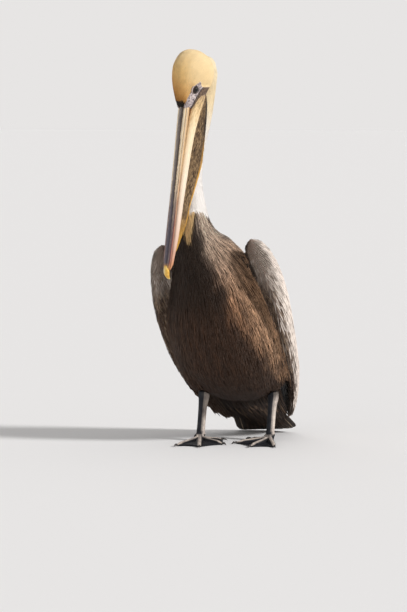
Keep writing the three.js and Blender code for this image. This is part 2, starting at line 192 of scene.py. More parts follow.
FLESH = {
    "head": ["head"],
    "neck": ["neck_upper", "neck_middle", "neck_lower"],
    "trunk": ["trunk", "thigh_left", "thigh_right"],
    "wing_left": ["wing_left_arm", "wing_left_secondaries"],
    "wing_right": ["wing_right_arm", "wing_right_secondaries"],
}
COAT_DEPTH = {"head": 1.6, "neck": 2.6, "trunk": 4.5, "wing_left": 3.6, "wing_right": 3.6}
SKIN_GRAIN = 2.6  # the skin's mesh, in millimetres
SKIN_SWELL = 0.5  # the solids stand a hair apart, and this closes the gaps between them
SKIN_ROUNDS = {"shape": 9, "depth": 25}  # how often the surface, and the coat's depth over it, are eased
FACE_THIN = 0.8  # the share of the coat's depth that the bare face lacks
CREASE = {"across": (9, 9, 4), "height": 0.35, "middle": 1.2}  # the face's wrinkles, wider ahead than up


def corners_of(mesh, what="co"):
    """A mesh's corners as rows of numbers, or their normals."""
    found = np.empty(len(mesh.vertices) * 3, np.float32)
    mesh.vertices.foreach_get(what, found)
    return found.reshape(-1, 3).astype(float)


def unit(rows):
    return rows / np.maximum(np.linalg.norm(rows, axis=-1, keepdims=True), 1e-12)


def smooth_piece(name, mesh):
    mesh.shade_smooth()
    made = bpy.data.objects.new(name, mesh)
    bpy.context.scene.collection.objects.link(made)
    return made


def moulded(name, nodes, swell, grain, rounds, knobs=()):
    """One even closed mesh over copies of these solids, each swollen a little, and over any knobs."""
    whole = bmesh.new()
    for centre, radius in knobs:
        bmesh.ops.create_icosphere(whole, subdivisions=3, radius=radius * MM,
                                   matrix=Matrix.Translation(centre))
    for node in nodes:
        part = bmesh.new()
        part.from_mesh(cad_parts[node].data)
        bmesh.ops.remove_doubles(part, verts=part.verts, dist=1e-6)
        part.normal_update()
        for v in part.verts:
            v.co += v.normal * swell * MM
        held = bpy.data.meshes.new("held")
        part.to_mesh(held)
        part.free()
        whole.from_mesh(held)
        bpy.data.meshes.remove(held)
    rough = bpy.data.meshes.new(name + "_rough")
    whole.to_mesh(rough)
    whole.free()
    blank = smooth_piece(name + "_rough", rough)
    remesh = blank.modifiers.new("remesh", "REMESH")
    remesh.mode, remesh.voxel_size = "VOXEL", grain * MM
    ease = blank.modifiers.new("ease", "SMOOTH")
    ease.factor, ease.iterations = 0.5, rounds
    even = bpy.data.meshes.new_from_object(blank.evaluated_get(bpy.context.evaluated_depsgraph_get()))
    bpy.data.objects.remove(blank)
    bpy.data.meshes.remove(rough)
    even.name = name
    return even


def tree_of(mesh):
    return BVHTree.FromPolygons([v.co for v in mesh.vertices], [tuple(p.vertices) for p in mesh.polygons])


def nearest(tree, points):
    """The nearest place on a surface to each point, the surface's normal there, and how far it is."""
    found = [tree.find_nearest(Vector(p)) for p in points]
    return tuple(np.array([f[k] for f in found]) for k in (0, 1, 3))


def head_measure(points):
    """Each point's place ahead of, left of and above the root of the bill, in millimetres."""
    off = np.asarray(points) - np.array(place(*BILL_ROOT))
    return np.stack([off @ np.array(axis) for axis in (AHEAD, LEFTWARD, CROWNWARD)], 1) / MM


FACE_TOP = ([-50, -48, -42, -36, -24, -13, 0, 4], [-7, -4, 2.5, 6.5, 9.5, 11.3, 10.5, 13])  # up, over ahead
FACE_BACK = ([-34, -22, -11, -8, -4, 4], [-43, -41, -39.5, -42, -49, -52])  # ahead, over up
FACE_FOOT, FACE_SIDE, FACE_FADE = -34, 7, 1.2  # how low, how near the middle, and how soft the edge is


def bare_face(points, margin=0.0):
    """1 on the bare skin between the eye and the bill and 0 where feathers grow, softened by a margin."""
    ahead, left, up = head_measure(points).T
    inside = np.minimum(np.interp(ahead, *FACE_TOP) - up, ahead - np.interp(up, *FACE_BACK))
    inside = np.minimum(inside, np.minimum(up - FACE_FOOT, np.abs(left) - FACE_SIDE))
    return np.clip((inside + margin) / FACE_FADE + 0.5, 0, 1)


skin_mesh = moulded("skin", [n for nodes in FLESH.values() for n in nodes], SKIN_SWELL, SKIN_GRAIN,
                    SKIN_ROUNDS["shape"])
fine = bmesh.new()
fine.from_mesh(skin_mesh)
fine.verts.ensure_lookup_table()
for _ in range(2):  # the bare face is a finer mesh, because it holds the lids and the wrinkles
    on_face = bare_face([v.co for v in fine.verts], 3.0) > 0
    fine.verts.index_update()
    facial = [e for e in fine.edges if all(on_face[v.index] for v in e.verts)]
    bmesh.ops.subdivide_edges(fine, edges=facial, cuts=1, use_grid_fill=True)
bmesh.ops.triangulate(fine, faces=[f for f in fine.faces if len(f.verts) > 4])
fine.to_mesh(skin_mesh)
fine.free()
kin_trees = {kin: [tree_of(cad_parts[n].data) for n in nodes] for kin, nodes in FLESH.items()}


def kin_of(points):
    """Which part of the body each point belongs to, as a number in the order of FLESH."""
    gaps = [[min(t.find_nearest(Vector(p))[3] for t in trees) for p in points]
            for trees in kin_trees.values()]
    return np.argmin(gaps, axis=0)


KINDS = list(FLESH)
skin_at = corners_of(skin_mesh)
skin_kin = kin_of(skin_at)
normals = corners_of(skin_mesh, "normal")
depth = np.array([COAT_DEPTH[k] for k in KINDS])[skin_kin]
links = np.empty(len(skin_mesh.edges) * 2, np.int32)
skin_mesh.edges.foreach_get("vertices", links)
links = links.reshape(-1, 2)
for _ in range(SKIN_ROUNDS["depth"]):  # the depth changes gently from one part to the next
    total, count = np.zeros(len(depth)), np.zeros(len(depth))
    for a, b in ((0, 1), (1, 0)):
        np.add.at(total, links[:, a], depth[links[:, b]])
        np.add.at(count, links[:, a], 1)
    depth = 0.5 * depth + 0.5 * total / np.maximum(count, 1)
depth *= 1 - FACE_THIN * bare_face(skin_at) * (skin_kin == KINDS.index("head"))
skin_at = skin_at - normals * ((depth + SKIN_SWELL) * MM)[:, None]
creases = bare_face(skin_at) * (skin_kin == KINDS.index("head"))
for i in np.flatnonzero(creases > 0.01):
    here = Vector(head_measure(skin_at[i:i + 1])[0] / CREASE["across"])
    fold = noise.ridged_multi_fractal(here, 1.0, 2.0, 3, 1.0, 2.0)
    skin_at[i] += normals[i] * creases[i] * CREASE["height"] * MM * (fold - CREASE["middle"])
skin_mesh.vertices.foreach_set("co", skin_at.astype(np.float32).ravel())
skin_mesh.update()
skin = smooth_piece("skin", skin_mesh)
skin_tree = tree_of(skin_mesh)
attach(skin, "root")
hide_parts(*[n for nodes in FLESH.values() for n in nodes])

# ---- How feathers are laid --------------------------------------------------------------------------------
# A contour feather is a thin leaf-shaped vane. It is rooted in the skin, follows the lie of the coat along
# a line from the bill over the crown and down to the tail, and its tip lies on the roots of those behind.

rng = np.random.default_rng(31)
PATCH = 0.003  # a feather's patch on its piece's colour map
PATCH_EDGE = 0.02  # the map's empty edge


def guide_through(points, count=90):
    """An even smooth line through a few places: its points, its direction and each point's share of it."""
    points = np.array([tuple(p) for p in points])
    run = np.concatenate([[0], np.cumsum(np.linalg.norm(np.diff(points, axis=0), axis=1))])
    share = np.linspace(0, 1, count)
    line = np.stack([np.interp(share * run[-1], run, points[:, k]) for k in range(3)], 1)
    for _ in range(12):
        line[1:-1] = 0.25 * line[:-2] + 0.5 * line[1:-1] + 0.25 * line[2:]
    return {"at": line, "way": unit(np.gradient(line, axis=0)), "share": share}


def near_on(guide, points):
    return ((points[:, None, :] - guide["at"][None]) ** 2).sum(2).argmin(1)


def round_guide(guide, points, face):
    """Each point's share of the way down the guide, and its angle round it from where `face` points."""
    index = near_on(guide, points)
    way = guide["way"][index]
    front = unit(np.array(face) - way * (way @ np.array(face))[:, None])
    off = points - guide["at"][index]
    return guide["share"][index], np.arctan2((off * np.cross(way, front)).sum(1), (off * front).sum(1))


face_loops = [tuple(p.vertices) for p in skin_mesh.polygons]
quads = np.array([f if len(f) == 4 else f + f[-1:] for f in face_loops])
tris = np.concatenate([quads[:, [0, 1, 2]], quads[:, [0, 2, 3]]])
tri_area = np.linalg.norm(np.cross(skin_at[tris[:, 1]] - skin_at[tris[:, 0]],
                                   skin_at[tris[:, 2]] - skin_at[tris[:, 0]]), axis=1) / 2
tri_kin = skin_kin[tris[:, 0]]


NEIGHBOURS = [(i, j, k) for i in (0, -1, 1) for j in (0, -1, 1) for k in (0, -1, 1)]


def scatter(kin, spacing, keep):
    """Places on one part of the skin where `keep` is true, that stand at least `spacing` millimetres apart.
    The spacing is a number or a function of the place. Four and a half times what fits are tried."""
    pool = np.flatnonzero(tri_kin == KINDS.index(kin))
    least = spacing if not callable(spacing) else float(np.min(spacing(skin_at[tris[pool, 0]])))
    count = int(4.5 * tri_area[pool].sum() / (least * MM) ** 2)
    chosen = rng.choice(pool, count, p=tri_area[pool] / tri_area[pool].sum())
    a, b = rng.random((2, count, 1))
    flip = a + b > 1
    a, b = np.where(flip, 1 - a, a), np.where(flip, 1 - b, b)
    p, q, r = (skin_at[tris[chosen, k]] for k in range(3))
    points = p + a * (q - p) + b * (r - p)
    points = points[keep(points)]
    apart = (spacing(points) if callable(spacing) else np.full(len(points), float(spacing))) * MM
    cell = float(apart.max())
    cells, taken = {}, []
    for i, key in enumerate(map(tuple, np.floor(points / cell).astype(int).tolist())):
        x, y, z = points[i]
        limit = apart[i] ** 2
        near_by = (other for i_on, j_on, k_on in NEIGHBOURS
                   for other in cells.get((key[0] + i_on, key[1] + j_on, key[2] + k_on), ()))
        if all((u - x) ** 2 + (v - y) ** 2 + (w - z) ** 2 >= limit for u, v, w in near_by):
            cells.setdefault(key, []).append((x, y, z))
            taken.append(i)
    return points[taken]


def clumps(points, size, seed=0.0):
    """Soft random numbers from about -1 to 1 that change over `size` millimetres."""
    return np.array([noise.noise(Vector(p) / (size * MM) + Vector((seed, 0, 0))) for p in points])


STEEP = 0.75  # where the guide leaves the skin more steeply than this, a feather leaves with it
CLING = {"gap": 1.2, "share": 0.3, "turn": 0.25}  # a step keeps to skin this near that faces about its way
THROUGH = 30  # told for a feather that runs out through a thin part, in millimetres
WANDER = {"size": 11, "share": 1.6}  # feathers this near each other, in millimetres, also stray together


def lay(roots, guide, length, depth, rings, stray=0.12, root_sink=0.4):
    """Lines laid over the skin from each root down the guide, with the outward and sideways direction at
    each ring. Each rises from just under the skin to the coat's depth, so that a tip lies over the next
    roots. The last answer is how far each one strays from the skin, in millimetres."""
    at, out, _ = nearest(skin_tree, roots)
    length = np.broadcast_to(np.asarray(length, float), len(at)) * MM
    depth = np.broadcast_to(np.asarray(depth, float), len(at)) * MM

    def along(points, normal):
        way = guide["way"][near_on(guide, points)]
        rising = (way * normal).sum(1)
        laid = way - normal * rising[:, None]
        leaving = np.where(rising > 0, np.maximum(0, STEEP - np.linalg.norm(laid, axis=1)), 0)
        return unit(laid + way * leaving[:, None])

    heading = along(at, out)
    turn = rng.normal(0, stray, len(at)) + WANDER["share"] * stray * clumps(at, WANDER["size"])
    turn = turn[:, None]
    heading = unit(heading * np.cos(turn) + np.cross(out, heading) * np.sin(turn))
    out = unit(out - heading * (heading * out).sum(1)[:, None])
    line, outs, sides, loose = [], [], [], np.zeros(len(at))
    stride = length / (rings - 1)
    for k in range(rings):
        share = k / (rings - 1)
        line.append(at + out * (depth * share ** 0.8 - root_sink * MM * (1 - share) ** 2)[:, None])
        outs.append(out)
        sides.append(unit(np.cross(heading, out)))
        step = at + heading * stride[:, None]
        hit, normal, gap = nearest(skin_tree, step)
        alike = (normal * out).sum(1)
        held = (gap < CLING["share"] * stride + CLING["gap"] * MM) & (alike > CLING["turn"])
        if k < rings - 1:
            loose = np.maximum(loose, np.where(alike < -0.5, THROUGH * MM, gap))
        onward = np.where(held[:, None], hit, step)
        out = np.where(held[:, None], unit(0.5 * out + 0.5 * normal), out)
        moved = unit(onward - at)
        at = onward
        heading = unit(0.55 * moved + 0.45 * along(at, out))
        out = unit(out - heading * (heading * out).sum(1)[:, None])
    return np.array(line), np.array(outs), np.array(sides), loose / MM


def patch_of(angle, share):
    """Each feather's place on its piece's colour map: across it by the angle, up it by the share."""
    return np.stack([PATCH_EDGE + (1 - 2 * PATCH_EDGE) * (angle / math.tau + 0.5),
                     PATCH_EDGE + (1 - 2 * PATCH_EDGE) * share], 1)


def mark(mesh, marks):
    """Named numbers at each corner of a mesh, for its finish to read."""
    for name, values in marks.items():
        values = np.asarray(values, np.float32).ravel()
        mesh.attributes.new(name, "FLOAT", "POINT").data.foreach_set("value", values)


def paint(mesh, layer, colours):
    """A colour at each corner of a mesh."""
    full = np.concatenate([colours, np.ones((len(colours), 1))], 1).astype(np.float32)
    mesh.color_attributes.new(layer, "FLOAT_COLOR", "POINT").data.foreach_set("color", full.ravel())


UNDER_BULGE = 0.35  # a vane's underside bulges by this share of its top
FLOOR_GAP = 0.3  # no part of a vane comes nearer to the floor than this, in millimetres


def vanes(name, line, out, side, half, thick, colours, fringes, patch, columns=3, camber=0.06, bow=0.4):
    """One mesh of closed vanes: `half` is each one's half width at each ring, in metres. Each vane takes the
    light as the coat does that it lies in, turned a little to each side by `bow`."""
    rings, count = line.shape[:2]
    across = np.linspace(-1, 1, columns)
    fall = camber * across ** 2
    top = [(u, 1 - u * u, f) for u, f in zip(across, fall)]
    under = [(u, -UNDER_BULGE * (1 - u * u), f) for u, f in list(zip(across, fall))[-2:0:-1]]
    loop = top + under
    ring_at = np.stack([
        line[1:-1] + side[1:-1] * (half[1:-1] * u)[..., None]
        + out[1:-1] * (thick * s - half[1:-1] * f)[..., None] for u, s, f in loop], 2)
    inner = rings - 2
    around = len(loop)
    per = 2 + inner * around
    ring_at = ring_at.transpose(1, 0, 2, 3).reshape(count, -1, 3)
    at = np.concatenate([line[0][:, None], ring_at, line[-1][:, None]], 1)
    at[..., 2] = np.maximum(at[..., 2], FLOOR_GAP * MM)
    share = np.linspace(0, 1, rings)
    u = np.concatenate([[0.5], np.tile([(c[0] + 1) / 2 for c in loop], inner), [0.5]])
    v = np.concatenate([[0], np.repeat(share[1:-1], around), [1]])
    ringed = 1 + np.arange(inner)[:, None] * around + np.arange(around)[None]
    onward = np.roll(ringed, -1, axis=1)
    quads = np.stack([ringed[:-1], onward[:-1], onward[1:], ringed[1:]], -1).reshape(-1, 4)
    first = np.stack([np.zeros(around, int), onward[0], ringed[0]], -1)
    last = np.stack([ringed[-1], onward[-1], np.full(around, per - 1)], -1)
    start = (np.arange(count) * per)[:, None, None]
    corner = np.concatenate([(quads[None] + start).reshape(-1),
                             (np.concatenate([first, last])[None] + start).reshape(-1)])
    four, three = len(quads) * count, 2 * around * count
    mesh = bpy.data.meshes.new(name)
    mesh.vertices.add(count * per)
    mesh.vertices.foreach_set("co", at.astype(np.float32).ravel())
    mesh.loops.add(len(corner))
    mesh.loops.foreach_set("vertex_index", corner.astype(np.int32))
    mesh.polygons.add(four + three)
    mesh.polygons.foreach_set("loop_start", np.concatenate(
        [np.arange(four) * 4, four * 4 + np.arange(three) * 3]).astype(np.int32))
    mesh.update(calc_edges=True)
    own = np.stack([np.tile(u, count), np.tile(v, count)], 1)
    spot = np.repeat(patch, per, axis=0) + (own - 0.5) * PATCH
    for layer, values in (("OFBake", spot), ("vane", own)):
        mesh.uv_layers.new(name=layer).data.foreach_set("uv", values[corner].astype(np.float32).ravel())
    paint(mesh, "vane_colour", np.repeat(colours, per, axis=0))
    paint(mesh, "fringe_colour", np.repeat(fringes, per, axis=0))
    facing = np.stack([unit(out[1:-1] + side[1:-1] * (u_at * bow)) for u_at, _, _ in loop], 2)
    facing = facing.transpose(1, 0, 2, 3).reshape(count, -1, 3)
    facing = np.concatenate([out[0][:, None], facing, out[-1][:, None]], 1)
    over = np.where(np.arange(around) < columns - 1, 1.0, -1.0)  # the upper face looks out, the lower one in
    over = np.concatenate([np.tile(np.repeat(over, 4), (inner - 1) * count),
                           np.tile(np.repeat(over, 3), 2 * count)])
    mesh.shade_smooth()
    mesh.normals_split_custom_set((facing.reshape(-1, 3)[corner] * over[:, None]).tolist())
    return smooth_piece(name, mesh)


def leaf(rings, widest=0.45, tip=0.45):
    """A leaf's half width at each ring as a share of its greatest: narrow root, blunt or drawn-out tip."""
    t = np.linspace(0, 1, rings)
    rise = np.clip(t / widest, 0, 1) ** 0.6
    fall = np.clip((1 - t) / (1 - widest), 0, 1) ** tip
    return np.minimum(rise, fall)


def towards(colours, hex_colour, share):
    """Colours, or one hex colour, each moved its own share of the way to another."""
    share = np.asarray(share, float)[:, None]
    start = np.array(tone(colours)[:3]) if isinstance(colours, str) else colours
    return start * (1 - share) + np.array(tone(hex_colour)[:3]) * share


def ease(value, low, high):
    """0 up to the low value and 1 from the high one, with a soft rise between."""
    t = np.clip((np.asarray(value, float) - low) / (high - low), 0, 1)
    return t * t * (3 - 2 * t)


WHITEST = 0.93  # a white feather


def varied(colours, spread):
    """The same colours, each a little lighter or darker, and none whiter than a white feather."""
    shades = colours * np.exp(rng.normal(0, spread, (len(colours), 1)))
    return shades / np.maximum(1, shades.max(1, keepdims=True) / WHITEST)


BLEND = {"data_type": "RGBA"}  # mixes the colours in sockets 6 and 7 by the share in socket 0
TIMES = {"data_type": "RGBA", "blend_type": "MULTIPLY"}  # the same, but the second colour darkens the first


def marks_on(tree, *names):
    """The numbers that `mark` left on a mesh, as sockets for other nodes."""
    return [add(tree, "Attribute", {"attribute_name": name}).outputs["Fac"] for name in names]


def dress(tree, shader, colour, relief, strength, deep):
    """Puts a colour into a shader, and a relief of this strength that is so many millimetres deep."""
    bump = add(tree, "Bump", links={"Strength": strength, "Distance": deep * MM, "Height": relief})
    tree.links.new(result(colour), shader.inputs["Base Color"])
    tree.links.new(bump.outputs[0], shader.inputs["Normal"])


def feather_finish(name, fringe_from, fringe_full, shaft, barb_gap, length, roughness=0.62):
    """Keratin barbs on a shaft give a soft sheen, fine slanting lines, a shaft line and a fringe of its own
    colour. Real barbs stand half a millimetre apart, and `barb_gap` draws them as coarse as they need to be
    to show."""
    made, tree, shader = finish_of(name, roughness, Specular_IOR_Level=0.12, Sheen_Weight=0.02,
                                   Sheen_Roughness=0.5)
    vane = add(tree, "UVMap", {"uv_map": "vane"})
    split = add(tree, "SeparateXYZ", links={0: vane})
    off = add(tree, "Math", {"operation": "MULTIPLY_ADD"}, {0: split.outputs["X"], 1: 2.0, 2: -1.0})
    off = add(tree, "Math", {"operation": "ABSOLUTE"}, {0: off})
    ragged = add(tree, "TexNoise", links={"Vector": vane, "Scale": 9.0, "Detail": 2.0})
    edge = add(tree, "Math", {"operation": "MULTIPLY_ADD"}, {0: ragged, 1: 0.3, 2: off})
    fringe = add(tree, "MapRange", links={0: edge, 1: fringe_from + 0.15, 2: fringe_full + 0.15})
    centre = add(tree, "Attribute", {"attribute_name": "vane_colour"})
    rim = add(tree, "Attribute", {"attribute_name": "fringe_colour"})
    body = add(tree, "Mix", BLEND, {0: fringe, 6: centre, 7: rim})
    ribs = length / barb_gap * math.tau
    slant = add(tree, "Math", {"operation": "MULTIPLY_ADD"}, {0: off, 1: -0.25, 2: split.outputs["Y"]})
    wave = add(tree, "Math", {"operation": "MULTIPLY"}, {0: slant, 1: ribs})
    wave = add(tree, "Math", {"operation": "SINE"}, {0: wave})
    # The barbs' lines are painted: darker in each groove of the relief and lighter on each ridge, as painted
    # shade and painted light.
    shade = add(tree, "MapRange", links={0: wave, 1: -1.0, 2: 1.0, 3: 0.86, 4: 1.06})
    barred = add(tree, "Mix", TIMES, {0: 1.0, 6: body, 7: shade})
    rachis = add(tree, "MapRange", links={0: off, 1: 0.05, 2: 0.11, 3: 1.0, 4: 0.0})
    strength = add(tree, "Math", {"operation": "MULTIPLY"}, {0: rachis, 1: shaft[1]})
    whole = add(tree, "Mix", BLEND, {0: strength, 6: barred, 7: tone(shaft[0])})
    height = add(tree, "Math", {"operation": "MULTIPLY_ADD"}, {0: rachis, 1: 2.0, 2: wave})
    dress(tree, shader, whole, height, 0.35, 0.4)
    return made


# ---- Breast, belly and back -------------------------------------------------------------------------------
# Narrow pointed body feathers, blackish brown below, each with a pale streak down its middle on the breast
# and silver grey over the back. They hang down the trunk in loose overlapping rows.

TRUNK_LINE = [(-13, -86, 456), (-13, -86, 418), (-12, -80, 380), (-3, -62, 338), (0, -36, 286), (0, -8, 228),
              (0, 20, 174), (0, 52, 130), (0, 90, 94), (0, 128, 60), (0, 165, 30)]
trunk_guide = guide_through([leaned(*p) for p in TRUNK_LINE])
UNDERSIDE = (0, -1, -0.2)  # the side that angles round the trunk are told from
BODY_FEATHER = {"length": (14, 34), "half": (0.85, 1.65), "depth": 3.6,  # from the throat to the belly
                "spacing": ([120, 200, 300, 380], [3.0, 2.7, 2.4, 2.0])}  # over the height
TAIL_SLOPE = {"from": 106, "foot": (112, 68), "fall": 0.66}  # the feathers of the rump lie on this slope
WING_GAP = {"side": 46, "back": 116}  # behind this place the wings leave room for the back's feathers
BREAST = {"silver": "#d4bba5", "flank": "#c09a7a", "brown": "#7d5539", "dark": "#38220f", "back": "#a3958a",
          "edge": "#21150e", "dark_belly_and_shade": "#2c1a11", "tuft": "#f0c88e"}


def upright(points):
    """Places in millimetres, as they were before the bird's lean."""
    x, y, z = ((np.asarray(points) - np.array(ORIGIN)) / MM).T
    return np.stack([x * math.cos(LEAN) - z * math.sin(LEAN), y, z * math.cos(LEAN) + x * math.sin(LEAN)], 1)


def body_colours(points):
    """The middles' and rims' colours of the trunk's feathers, by how far down and round they stand."""
    share, angle = round_guide(trunk_guide, points, UNDERSIDE)
    low, flank = ease(share, 0.06, 0.34), ease(np.abs(angle), 0.35, 1.5)
    centre = towards(towards(BREAST["silver"], BREAST["brown"], low), BREAST["flank"], 0.8 * flank * low)
    centre = towards(centre, BREAST["dark"], ease(share, 0.42, 0.8) * (1 - 0.5 * flank))
    x, y, z = upright(points).T
    centre = towards(centre, BREAST["back"], ease(np.abs(angle) + 1.2 * ease(y, 90, 112), 1.7, 2.4))
    streak = np.array([noise.noise(Vector((a * 11, s * 7, 2.0))) for a, s in zip(angle, share)])
    centre = centre * (1.2 * np.exp(1.05 * streak))[:, None]
    # The belly is dark in its middle, its own colour, and the dark runs on over the bird's right side as
    # painted shade; its edge slants down in clumps.
    dark_belly_and_shade = ease(angle + 0.5 + 0.85 * ease(share, 0.2, 0.7) + 0.25 * clumps(points, 26, 6.0), -0.22, 0.22)
    dark_belly_and_shade = dark_belly_and_shade * (1 - ease(np.abs(angle), 1.5, 2.0))
    # Between 240 and 300 mm up the dark is deepened further: a painted shadow of the bill on the breast.
    centre = towards(centre, BREAST["dark_belly_and_shade"], 0.92 * dark_belly_and_shade) * (1 - 0.7 * dark_belly_and_shade * ease(z, 240, 300))[:, None]
    reach = 1 + 0.13 * (z - 385)  # the yellow tuft hangs in front and widens upwards
    tuft = ease(z, 384, 398) * ease(-y, 92, 104) * (1 - ease(np.abs(x + 15), reach, reach + 5))
    centre = towards(centre, BREAST["tuft"], tuft)
    return centre, towards(towards(BREAST["edge"], BREAST["dark"], 0.4 * low), BREAST["tuft"], tuft * 0.75)


def feathered_trunk(points):
    """Everywhere but under the foot of the tail."""
    _, back, up = upright(points).T
    return (back < 108) | ((back < 124) & (up > 68))


# Loose webs give the body a dull, streaky look, each feather with a soft rim of another colour.
body_finish = feather_finish("contour_feather", 0.25, 0.75, ("#d8c8ba", 0.15), 2.2, 36)
roots = scatter("trunk", lambda p: np.interp(upright(p)[:, 2], *BODY_FEATHER["spacing"]), feathered_trunk)
share, angle = round_guide(trunk_guide, roots, UNDERSIDE)
grow = ease(share, 0.02, 0.5)
(short, long), (narrow, broad) = BODY_FEATHER["length"], BODY_FEATHER["half"]
length = (short * (1 - grow) + long * grow) * rng.uniform(0.8, 1.2, len(roots))
rump = ease(np.abs(angle), 1.6, 2.2)  # the feathers of the rump run on over the foot of the tail
length = length * (1 + (0.6 * rump - 0.45 * (1 - rump)) * ease(share, 0.8, 1.0))
half = (narrow * (1 - grow) + broad * grow) * rng.uniform(0.8, 1.2, len(roots)) * MM
half = half * (1 + 1.2 * rump * ease(share, 0.8, 1.0))
centre, rim = body_colours(roots)
blotch = np.exp(0.3 * clumps(roots, 16, 3.0) + 0.25 * clumps(roots, 6, 9.0))[:, None]
centre, rim = varied(np.clip(centre * blotch, 0, 1), 0.2), varied(rim, 0.2)
patch = patch_of(angle, share)
lift = BODY_FEATHER["depth"] * (0.45 + 0.55 * grow) * rng.uniform(0.75, 1.15, len(roots))
line, out, side, loose = lay(roots, trunk_guide, length, lift, 6)
_, y, z = upright(line.reshape(-1, 3)).T.reshape(3, *line.shape[:2])
slope = TAIL_SLOPE["foot"][1] - TAIL_SLOPE["fall"] * (y - TAIL_SLOPE["foot"][0])
line[..., 2] += np.maximum(0, slope - z) * (y > TAIL_SLOPE["from"]) * (rump > 0.3) * MM
(root_x, root_y, _), (tip_x, tip_y, _) = upright(roots).T, upright(line[-1]).T
outward = (np.abs(tip_x) - np.abs(root_x) > 3) & (root_y > 60)  # it would run out through a wing
outward |= (np.abs(tip_x) > WING_GAP["side"]) & (tip_y > WING_GAP["back"])
dropped = outward | (loose > 8) & (rump < 0.3)
quarter = np.where(dropped, 9, np.digitize(angle, [-1.7, 0.0, 1.7]))
for name, mine in (("plumage_flank_left", quarter == 1), ("plumage_flank_right", quarter == 2),
                   ("plumage_back", (quarter == 0) | (quarter == 3))):
    coat = vanes(name, line[:, mine], out[:, mine], side[:, mine], leaf(6)[:, None] * half[None, mine],
                 0.2 * MM, centre[mine], rim[mine], patch[mine])
    coat.data.materials.append(body_finish)
    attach(coat, "root")


# ---- Neck and head ----------------------------------------------------------------------------------------
# Short close velvet, straw yellow on the crown and cheeks, that turns to the white plumes of the neck. At its
# foot a yellowish tuft hangs in front, and the dark mantle begins in drawn-out points.

NECK_LINE = [on_head(14, 0, 6), on_head(-20, 0, 10), on_head(-54, 0, 10), on_head(-84, 0, -6),
             on_head(-90, 0, -34), place(-38, -62, 676), place(-43, -54, 648), place(-48, -58, 602),
             place(-55, -72, 542), place(-54, -84, 482), place(-46, -84, 424), place(-38, -72, 372)]
neck_guide = guide_through(NECK_LINE, 120)
VELVET = {"head": {"length": 7.5, "half": 0.85, "depth": 0.6, "spacing": 1.3},
          "neck": {"length": 13, "half": 1.15, "depth": 0.7, "spacing": 1.8}}
HEAD = {"crown": "#f6cd88", "gold_and_shade": "#c98538", "umber": "#7a5229", "cheek": "#fbe0b0", "nape": "#fbe9c4",
        "white": "#f8f2ec", "spot": "#1d1611", "mantle": "#503d30"}
MANTLE_TOP = (428, 434)  # the height at which the white neck ends, in ragged points
WHITE_NECK = (560, 650)  # the height over which the yellow of the nape fades to white


def head_colours(points):
    """The middles' and rims' colours of the velvet, by the place on the head and the height of the neck."""
    ahead, left, up = head_measure(points).T
    back = ease(-ahead, 50, 112) * 0.55 + ease(-up, 10, 62) * 0.75
    centre = towards(HEAD["crown"], HEAD["nape"], np.clip(back, 0, 1))
    centre = towards(centre, HEAD["cheek"], ease(np.abs(left), 12, 30) * 0.7)
    # The gold of the forehead is its own colour, but it reaches further round the bird's right side as
    # painted shade; the umber is painted shade on the forehead, most of all on the bird's right side.
    front = ahead - 0.9 * left + 9 * clumps(points, 14, 8.0)
    centre = towards(centre, HEAD["gold_and_shade"], 0.9 * ease(front, -78, -2) * ease(up, -34, -6))
    centre = towards(centre, HEAD["umber"], 0.75 * ease(front, -34, 8) * ease(up, -24, 0))
    height = (points[:, 2] - ORIGIN.z) / MM
    white = np.where((ahead < 30) & (up > -48), 0, ease(-height, -WHITE_NECK[1], -WHITE_NECK[0]))
    centre = towards(centre, HEAD["white"], white)
    ragged = 7 * clumps(points, 7, 5.0)
    mantle = ease(-(height + ragged), -MANTLE_TOP[1], -MANTLE_TOP[0])
    centre = towards(centre, HEAD["mantle"], mantle)
    # A painted shadow: a near black spot on the feathers just above the root of the bill.
    spot = ease(ahead, -6.5, -4.5) * (1 - ease(np.abs(left), 9, 11)) * ease(up, 3, 6)
    centre = towards(centre, HEAD["spot"], spot)
    return centre, towards(centre * 0.93, BREAST["edge"], mantle * 0.8)


# Velvet is matt and even, with hardly a shaft or a rim to be seen.
velvet_finish = feather_finish("velvet_feather", 0.5, 0.95, ("#fff4dc", 0.06), 1.2, 14, 0.7)
for kin in ("head", "neck"):
    size = VELVET[kin]
    roots = scatter(kin, size["spacing"], lambda p: (bare_face(p, -0.5) < 0.5) | (kin == "neck"))
    share, angle = round_guide(neck_guide, roots, LEVEL)
    vary = rng.uniform(0.8, 1.25, len(roots))
    lift = size["depth"] * rng.uniform(0.7, 1.15, len(roots))
    line, out, side, _ = lay(roots, neck_guide, size["length"] * vary, lift, 5, 0.1, 0.2)
    centre, rim = head_colours(roots)
    blotch = np.exp(0.07 * clumps(roots, 9, 2.0))[:, None]
    centre, rim = varied(np.clip(centre * blotch, 0, 1), 0.035), varied(rim, 0.035)
    coat = vanes("plumage_" + kin, line, out, side, leaf(5)[:, None] * (size["half"] * MM * vary)[None],
                 0.1 * MM, centre, rim, patch_of(angle, share))
    coat.data.materials.append(velvet_finish)
    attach(coat, "root")


# ---- Eyes -------------------------------------------------------------------------------------------------
# A dark brown iris round a black pupil, under a wet clear cornea, in a ball 14 mm across. A ring of bare
# wrinkled lid fits over each ball and leaves an opening longer than it is high.

IRIS = {"pupil": 27, "iris": 60, "brown": "#24150d", "rim": "#0b0706", "white": "#1c1412"}  # degrees
LID = {"opening": (68, 56), "back": 104, "over": 0.3, "thick": 0.75,  # two angles, two sizes in millimetres
       "steps": [0.0, 0.02, 0.06, 0.14, 0.26, 0.42, 0.6, 0.8, 1.0],  # from the opening's rim to the back
       "swell": [-0.35, 0.5, 0.95, 1.0, 0.7, 0.72, 0.5, 0.2, -0.6]}
CORNEA = {"bulge": 0.045, "reach": 36, "sunk": 0.1}  # a share of the radius, degrees, millimetres
LID_GRAIN = 1.11  # millimetres, coarser than the real wrinkles so that it shows


